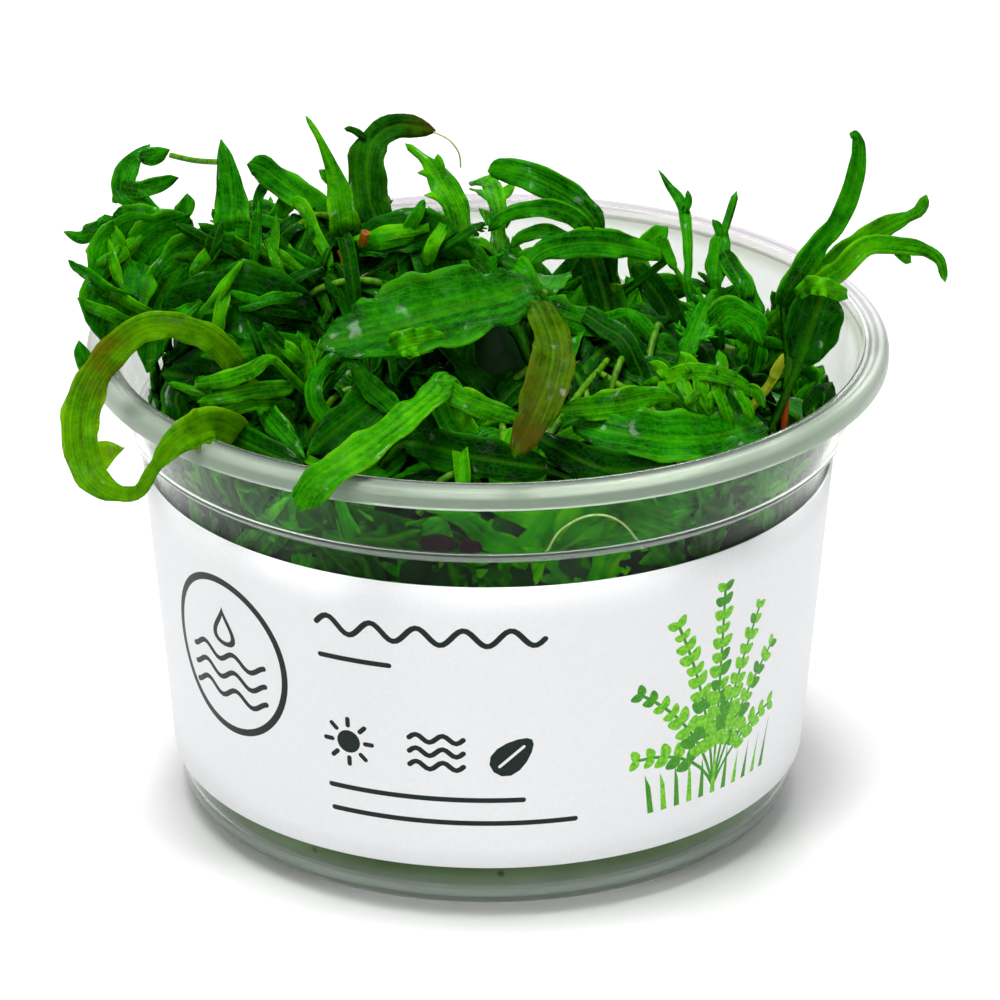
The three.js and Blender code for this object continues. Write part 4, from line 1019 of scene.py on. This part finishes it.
def buildCore():
    spokes = tangle["spokes"]
    vertices, faces, rows = [], [], []
    rings = [2.5 * k for k in range(1, 13)] + [31.4]
    for radius in rings:
        row = []
        for k in range(spokes):
            angle = 2 * pi * k / spokes
            x, y = around(radius, angle)
            drop = tangle["coreDrop"] + 1.6 * noise.noise(Vector((x, y, 0)) * 0.35)
            drop += 0.9 * noise.noise(Vector((x, y, 5)))
            row.append(len(vertices))
            vertices.append(Vector((x, y, heapHeight(x, y) - drop)) * mm)
        rows.append(row)
    for height in (38.0, 34.0, 26.0, 18.0, gel["top"] + 0.3):
        radius = wallRadius(height) - cup["wall"] - tangle["coreSide"]
        row = []
        for k in range(spokes):
            angle = 2 * pi * k / spokes
            swell = 0.8 * noise.noise(Vector((cos(angle) * 9, sin(angle) * 9, height * 0.4)))
            row.append(len(vertices))
            vertices.append(Vector((*around(radius + swell, angle), height)) * mm)
        rows.append(row)
    top, bottom = len(vertices), len(vertices) + 1
    vertices += [Vector((0, 0, heapHeight(0, 0) - tangle["coreDrop"])) * mm, Vector((0, 0, gel["top"] + 0.3)) * mm]
    for upper, lower in zip(rows, rows[1:]):
        for k in range(spokes):
            n = (k + 1) % spokes
            faces.append((upper[k], lower[k], lower[n], upper[n]))
    faces += [(top, rows[0][k], rows[0][(k + 1) % spokes]) for k in range(spokes)]
    faces += [(bottom, rows[-1][(k + 1) % spokes], rows[-1][k]) for k in range(spokes)]
    core = newPiece("tangle_core", vertices, faces, [coreFoliage()])
    settle(core, "shaded_leaf", "leaf_tangle")


def joinedLeaves(name, sprigs, tissues, slot, *hosts):   # many leaves in one mesh, a material slot for each tone
    names = list(tissues)
    vertices, faces, uvs, slots = [], [], [], []
    for seed, (leaf, points, bladeStart) in enumerate(sprigs):
        v, f, u = growLeaf(leaf, points, bladeStart, seed + 500, grid=leaf.get("grid", 0.85))
        first = len(vertices)
        vertices += v if hosts else [heldIn(point) for point in v]
        uvs += u
        faces += [tuple(n + first for n in face) for face in f]
        slots += [names.index(leaf["tone"])] * len(f)
    piece = newPiece(name, vertices, faces, [tissues[n] for n in names], slots, uvs)
    settle(piece, slot, *(hosts or ["leaf_tangle"]))


def buildSprigs(tissues):
    # small leaves that spring from the large ones where the photo's heap is densest
    draw = random.Random(3)
    hosts = {"leaf_left_broad": 9, "leaf_left_shade": 7, "leaf_left_cross": 9, "leaf_left_low": 6,
             "leaf_centre_shade": 6}
    sprigs = []
    for host, count in hosts.items():
        points = [Vector(p) for p in leaves[host]["path"]]
        face = Vector(leaves[host].get("face", toViewer)).normalized()
        for _ in range(count):
            root, along = curvePoint(points, draw.uniform(0.1, 0.85))
            side = along.cross(face).normalized()
            heading = (along * draw.uniform(-1, 1) + side * draw.uniform(-1, 1)).normalized()
            length = draw.uniform(4, 8)
            lift = draw.uniform(0.6, 1.4)
            path = [root + heading * length * (j / 4 - 0.3) + face * (0.3 + lift * sin(pi * (j + 0.5) / 5))
                    for j in range(5)]
            leaf = {"width": draw.uniform(0.9, 1.7), "tone": draw.choice(("young", "young", "fresh", "deep")),
                    "face": tuple(face + Vector((draw.uniform(-0.5, 0.5), 0, draw.uniform(-0.3, 0.5)))),
                    "blunt": draw.random() < 0.6}
            sprigs.append((leaf, path, 0.0))
    joinedLeaves("left_sprigs", sprigs, tissues, "green_leaf", *hosts)
    crumpled = [   # the crinkled young tip on the large leaf, and the crinkled top edge of the dark leaf at the right; their bright young tone is partly real and partly a painted highlight where the crinkles catch the light
        ({"width": 3, "tone": "young", "ruffle": 3, "grid": 0.3, "rippleLength": 1.5},
         [(-9.9, -22.6, 55.4), (-8.2, -22.4, 56.6), (-6.1, -21.6, 56.8), (-3.8, -20.4, 56.6)], "leaf_centre_large"),
        ({"width": 2, "tone": "young", "ruffle": 2.6, "grid": 0.3, "rippleLength": 1.7, "blunt": True},
         [(30.2, -8.6, 56.2), (31.7, -9.4, 57.6), (33.4, -9.4, 57.3), (35.4, -8.2, 55.7)], "leaf_right_dark"),
    ]
    for leaf, path, host in crumpled:
        joinedLeaves(host.replace("leaf_", "crinkled_tip_"), [(leaf, [Vector(p) for p in path], 0.0)], tissues,
                     "green_leaf", host)


def leafKind(draw, tones):
    kind = {"width": draw.uniform(1.6, 4.2), "tone": draw.choice(tones), "ruffle": draw.uniform(0.6, 1.8)}
    chance = draw.random()
    if chance < 0.45:
        kind.update(lobes=draw.choice((2, 3, 4)), depth=draw.uniform(0.45, 0.8), width=draw.uniform(3.4, 5.8),
                    sweep=draw.uniform(0.9, 1.7))
    elif chance < 0.75:
        kind.update(blunt=True)
    return kind


def kept(x, y, limit):   # a place drawn in to a radius
    reach = hypot(x, y)
    return (x * limit / reach, y * limit / reach) if reach > limit else (x, y)


def walk(draw, kind):   # a path over the heap, or none where it is too short or in a clearing
    x, y = around(kind["spread"] * sqrt(draw.random()), draw.uniform(0, 2 * pi))
    heading = draw.uniform(0, 2 * pi)
    length, bend = draw.uniform(*kind["length"]), draw.uniform(-kind["bend"], kind["bend"])
    low = draw.uniform(*kind["low"]) if kind["low"][0] < kind["low"][1] else kind["low"][0]
    arch, steps = draw.uniform(*kind["arch"]), kind["steps"]
    points = []
    for k in range(steps + 1):
        x, y = kept(x, y, tangle["reach"])
        rise = arch * sin(pi * (k + kind["phase"]) / (steps + kind["phase"]))
        points.append(Vector((x, y, heapHeight(x, y) + low + rise)))
        x, y = x + cos(heading) * length / steps, y + sin(heading) * length / steps
        heading += bend * length / steps
    tooShort = any((a - b).length < kind["gap"] for a, b in zip(points, points[1:]))
    return None if tooShort or inClearing(points) else points


def buildTopLeaves(tissues):
    draw = random.Random(21)
    sprigs = []
    while len(sprigs) < tangle["topLeaves"]:
        points = walk(draw, loose["leaf"])
        if points:
            leaf = leafKind(draw, ("young", "fresh", "mature", "mature", "deep", "deep"))
            leaf["face"] = (draw.uniform(-0.5, 0.5), draw.uniform(-0.8, 0.2), 1)
            leaf["tone"] = shadedTone(points[2], leaf["tone"])
            leaf["ruffle"] = draw.uniform(0.8, 2.2)
            sprigs.append((leaf, points, 0.0))
    while len(sprigs) < tangle["topLeaves"] + tangle["straps"]:
        points = walk(draw, loose["strap"])
        if points:
            leaf = {"width": draw.uniform(1.1, 2.4), "blunt": draw.random() < 0.5, "ruffle": 0.6,
                    "tone": draw.choice(("young", "fresh", "fresh", "mature", "deep")),
                    "face": (draw.uniform(-0.6, 0.6), draw.uniform(-1, 0.1), 0.8)}
            leaf["tone"] = shadedTone(points[3], leaf["tone"])
            sprigs.append((leaf, points, 0.0))
    joinedLeaves("tangle_top_leaves", sprigs, tissues, "green_leaf")


def buildWallLeaves(tissues):
    draw = random.Random(8)
    sprigs = []

    def onWall(angle, height, inset):
        step = min(1, max(0, (height - packed["ledgeFrom"]) / packed["ledgeRun"]))
        below = wallRadius(min(height, cup["shoulder"])) - cup["wall"]
        radius = below * (1 - step) + packed["upperRadius"] * step - inset
        return Vector((*around(radius, angle), height))

    for n in range(tangle["wallLeaves"]):
        angle = 2 * pi * n / tangle["wallLeaves"] + draw.uniform(-0.05, 0.05)
        sweep = draw.uniform(-packed["sweep"], packed["sweep"])
        low, high = draw.uniform(*packed["low"]), draw.uniform(*packed["high"])
        if draw.random() < packed["slanted"]:
            sweep = draw.choice((-1, 1)) * draw.uniform(*packed["slantSweep"])
            low, high = draw.uniform(*packed["slantLow"]), draw.uniform(*packed["slantHigh"])
        if abs(high - low) < 1.5:
            high = low + 2
        atFront = packed["front"][0] < angle < packed["front"][1]   # room for the thread and the scraps
        inset = draw.uniform(*packed["inset"]) + (packed["frontRoom"] if atFront else 0)
        points = [onWall(angle + sweep * (k / 4 - 0.5), low + (high - low) * k / 4 + draw.uniform(-0.4, 0.4),
                         inset + 0.3 * sin(k)) for k in range(5)]
        leaf = leafKind(draw, ("young", "fresh", "fresh", "mature", "deep"))
        leaf["face"] = (cos(angle), sin(angle), 0.05)
        leaf.update(ruffle=0.3, curl=packed["curl"])
        sprigs.append((leaf, points, 0.0))
    for width, path in packed["pressed"]:
        leaf = {"width": width, "tone": "young", "blunt": True, "face": (*path[1][:2], 0), "ruffle": 0.4,
                "curl": packed["curl"]}
        sprigs.append((leaf, [Vector(p) for p in path], 0.0))
    joinedLeaves("tangle_wall_leaves", sprigs, tissues, "green_leaf")


def tubeTree():   # a tapering tube along a curve, the same tree for stems, stalks and fine threads
    tree = bpy.data.node_groups.new("tubeAlongPath", "GeometryNodeTree")
    face = tree.interface
    face.new_socket("Geometry", in_out="INPUT", socket_type="NodeSocketGeometry")
    kinds = {"Radius": "NodeSocketFloat", "Sides": "NodeSocketInt", "Finish": "NodeSocketMaterial"}
    sockets = {name: face.new_socket(name, in_out="INPUT", socket_type=kind) for name, kind in kinds.items()}
    face.new_socket("Geometry", in_out="OUTPUT", socket_type="NodeSocketGeometry")
    add = partial(addNode, tree)
    start = add("NodeGroupInput")
    ring = add("GeometryNodeCurvePrimitiveCircle", {"Resolution": start.outputs["Sides"],
        "Radius": start.outputs["Radius"]})
    tube = add("GeometryNodeCurveToMesh", {"Curve": start.outputs["Geometry"], "Profile Curve": ring,
        "Fill Caps": True})
    real = add("GeometryNodeRealizeInstances", {"Geometry": tube})
    painted = add("GeometryNodeSetMaterial", {"Geometry": real, "Material": start.outputs["Finish"]})
    add("NodeGroupOutput", {"Geometry": painted})
    return tree, {name: socket.identifier for name, socket in sockets.items()}


def tubes(name, paths, size, sides, material, steps=28):
    tree, identifiers = tubeNodes
    line = bpy.data.curves.new(name + "Line", "CURVE")
    line.dimensions = "3D"
    for path in paths:
        spline = line.splines.new("POLY")
        spline.points.add(steps)
        points = [Vector(p) for p in path]
        for k in range(steps + 1):
            spline.points[k].co = (*(curvePoint(points, k / steps)[0] * mm), 1)
            knot = exp(-((k / steps * 5 % 1) - 0.5) ** 2 / 0.01)   # swollen where leaves leave
            spline.points[k].radius = 1.08 - 0.2 * k / steps + 0.12 * knot
    guide = intoScene(name + "Guide", line)
    modifier = guide.modifiers.new("tube", "NODES")
    modifier.node_group = tree
    for key, value in (("Radius", size * mm), ("Sides", sides), ("Finish", material)):
        modifier[identifiers[key]] = value
    mesh = bpy.data.meshes.new_from_object(guide.evaluated_get(bpy.context.evaluated_depsgraph_get()))
    bpy.data.objects.remove(guide)
    mesh.polygons.foreach_set("use_smooth", [True] * len(mesh.polygons))
    return intoScene(name, mesh)


def buildStems():
    for name, stem in stems.items():
        ripe = stem.get("finish") == "ripe"
        material = stemTissues["ripe" if ripe else "green"]
        size = stemForm["ripeRadius" if ripe else "radius"]
        piece = tubes(name.replace("stem_", "shoot_"), [stem["path"]], size, stemForm["sides"], material)
        settle(piece, "ripe_stem" if ripe else "green_stem", name)


def buildStalks():   # thin leaf stalks that cross in the heap
    draw = random.Random(77)
    paths = []
    while len(paths) < tangle["stalks"]:
        radius, angle = 29 * sqrt(draw.random()), draw.uniform(0, 2 * pi)
        x, y = around(radius, angle)
        heading, length = draw.uniform(0, 2 * pi), draw.uniform(7, 15)
        path = []
        for k in range(4):
            away = length * k / 3
            px, py = kept(x + cos(heading) * away, y + sin(heading) * away, tangle["stalkReach"])
            path.append(Vector((px, py, heapHeight(px, py) - 1.5 + 2.6 * sin(pi * (k + 0.4) / 3.8))))
        if not inClearing(path):
            paths.append(path)
    settle(tubes("tangle_stalks", paths, 0.36, 8, stemTissues["green"], steps=12), "green_stem", "leaf_tangle")


def buildThreads(*kinds):
    for name, thread in threads.items():
        if thread["tissue"] in kinds:
            piece = tubes(name, [thread["path"]], thread["radius"], thread["sides"], stemTissues[thread["tissue"]])
            settle(piece, "ripe_stem" if thread["tissue"] == "cut" else "green_stem", thread["on"])


def buildScraps():   # two dark scraps of dead leaf that lie on the ledge inside the front wall
    material, add, place = newMaterial("deadLeafScrap")   # black-brown, wet
    spots = add("TexNoise", {"Vector": place, "Scale": 1600.0})
    tint = add("ValToRGB", {"stops": [(0.35, "#0c0307"), (0.7, "#1c0b10")], "Fac": spots})
    surface = add("BsdfPrincipled", {"Base Color": tint, "Roughness": 0.3, "Specular IOR Level": 0.1})
    add("OutputMaterial", {"Surface": surface})
    vertices, faces = [], []
    for x, z, length, height in scraps:
        ball = bmesh.new()
        bmesh.ops.create_icosphere(ball, subdivisions=3, radius=1)
        first = len(vertices)
        for vertex in ball.verts:
            lump = 1 + 0.25 * noise.noise(vertex.co * 1.7 + Vector((x, 0, 0)))
            angle = (x + vertex.co.x * length * lump) / tangle["scrapReach"] - pi / 2
            reach = tangle["scrapReach"] + 0.35 * vertex.co.y * lump
            vertices.append(Vector((*around(reach, angle), z + vertex.co.z * height * lump)) * mm)
        faces += [tuple(v.index + first for v in face.verts) for face in ball.faces]
        ball.free()
    settle(newPiece("dead_leaf_scraps", vertices, faces, [material]), "old_leaf", "leaf_tangle")


def stemTissue(name, low, high, greenAbove=None):   # smooth juicy stem: fine streaks along it, a wet sheen
    material, add, place = newMaterial(name)
    stretch = add("Mapping", {"Vector": place, "Scale": (1.0, 1.0, 0.12)})
    streak = add("TexNoise", {"Vector": stretch, "Scale": 1500.0})
    tint = add("ValToRGB", {"stops": [(0.3, low), (0.7, high)], "Fac": streak})
    colour = tint
    if greenAbove:   # the ripe colour fades to green up the stem
        height = add("SeparateXYZ", {"Vector": place}).outputs["Z"]
        rise = add("MapRange", {"Value": height, "from": ((greenAbove - 1.5) * mm, greenAbove * mm)})
        colour = add("Mix", {"data_type": "RGBA", "Factor_Float": rise, "A_Color": colour, "B_Color": "#2f6a06"})
    surface = add("BsdfPrincipled", {"Base Color": colour, "Roughness": 0.3, "IOR": 1.42, "Subsurface Weight": 0.2,
        "Subsurface Scale": 0.001, "Specular IOR Level": 0.2})
    add("OutputMaterial", {"Surface": surface})
    return material


buildCamera()
buildStudio()
print("camera and studio ready")
buildCup()
print("cup and gel ready")
buildLabel()
print("label ready")
# the turning tone's painted shade at the blade's base is turned round to a lightening
special = {"olive": {"brownFrom": 0.42, "brown": "#4e480a"}, "bruised": {"brownFrom": 0.86},
           "turning": {"midrib": "#6a5206", "spineShow": 0.14, "brownBand": (0.4, 0.08), "brown": "#6a3a04",
                       "paintedBaseShade": 0.1}}
tissues = {tone: leafTissue(tone + "LeafTissue", values, **special.get(tone, {}))
           for tone, values in leafTones.items()}
stemTissues = {"green": stemTissue("greenStemTissue", "#2c6a02", "#5f9a12"),
               "ripe": stemTissue("ripeStemTissue", "#742a06", "#b85416", greenAbove=46.0),
               "cut": stemTissue("cutStemTissue", "#5a2c00", "#a86a08"),
               "pale": stemTissue("paleThreadTissue", "#7fa04a", "#b4c88a")}
tubeNodes = tubeTree()
buildLeaves(tissues)
print("leaves ready")
buildStems()
buildThreads("cut")
buildStalks()
buildThreads("pale", "green")
print("stems ready")
buildCore()
buildSprigs(tissues)
buildScraps()
buildTopLeaves(tissues)
buildWallLeaves(tissues)
print("tangle ready")
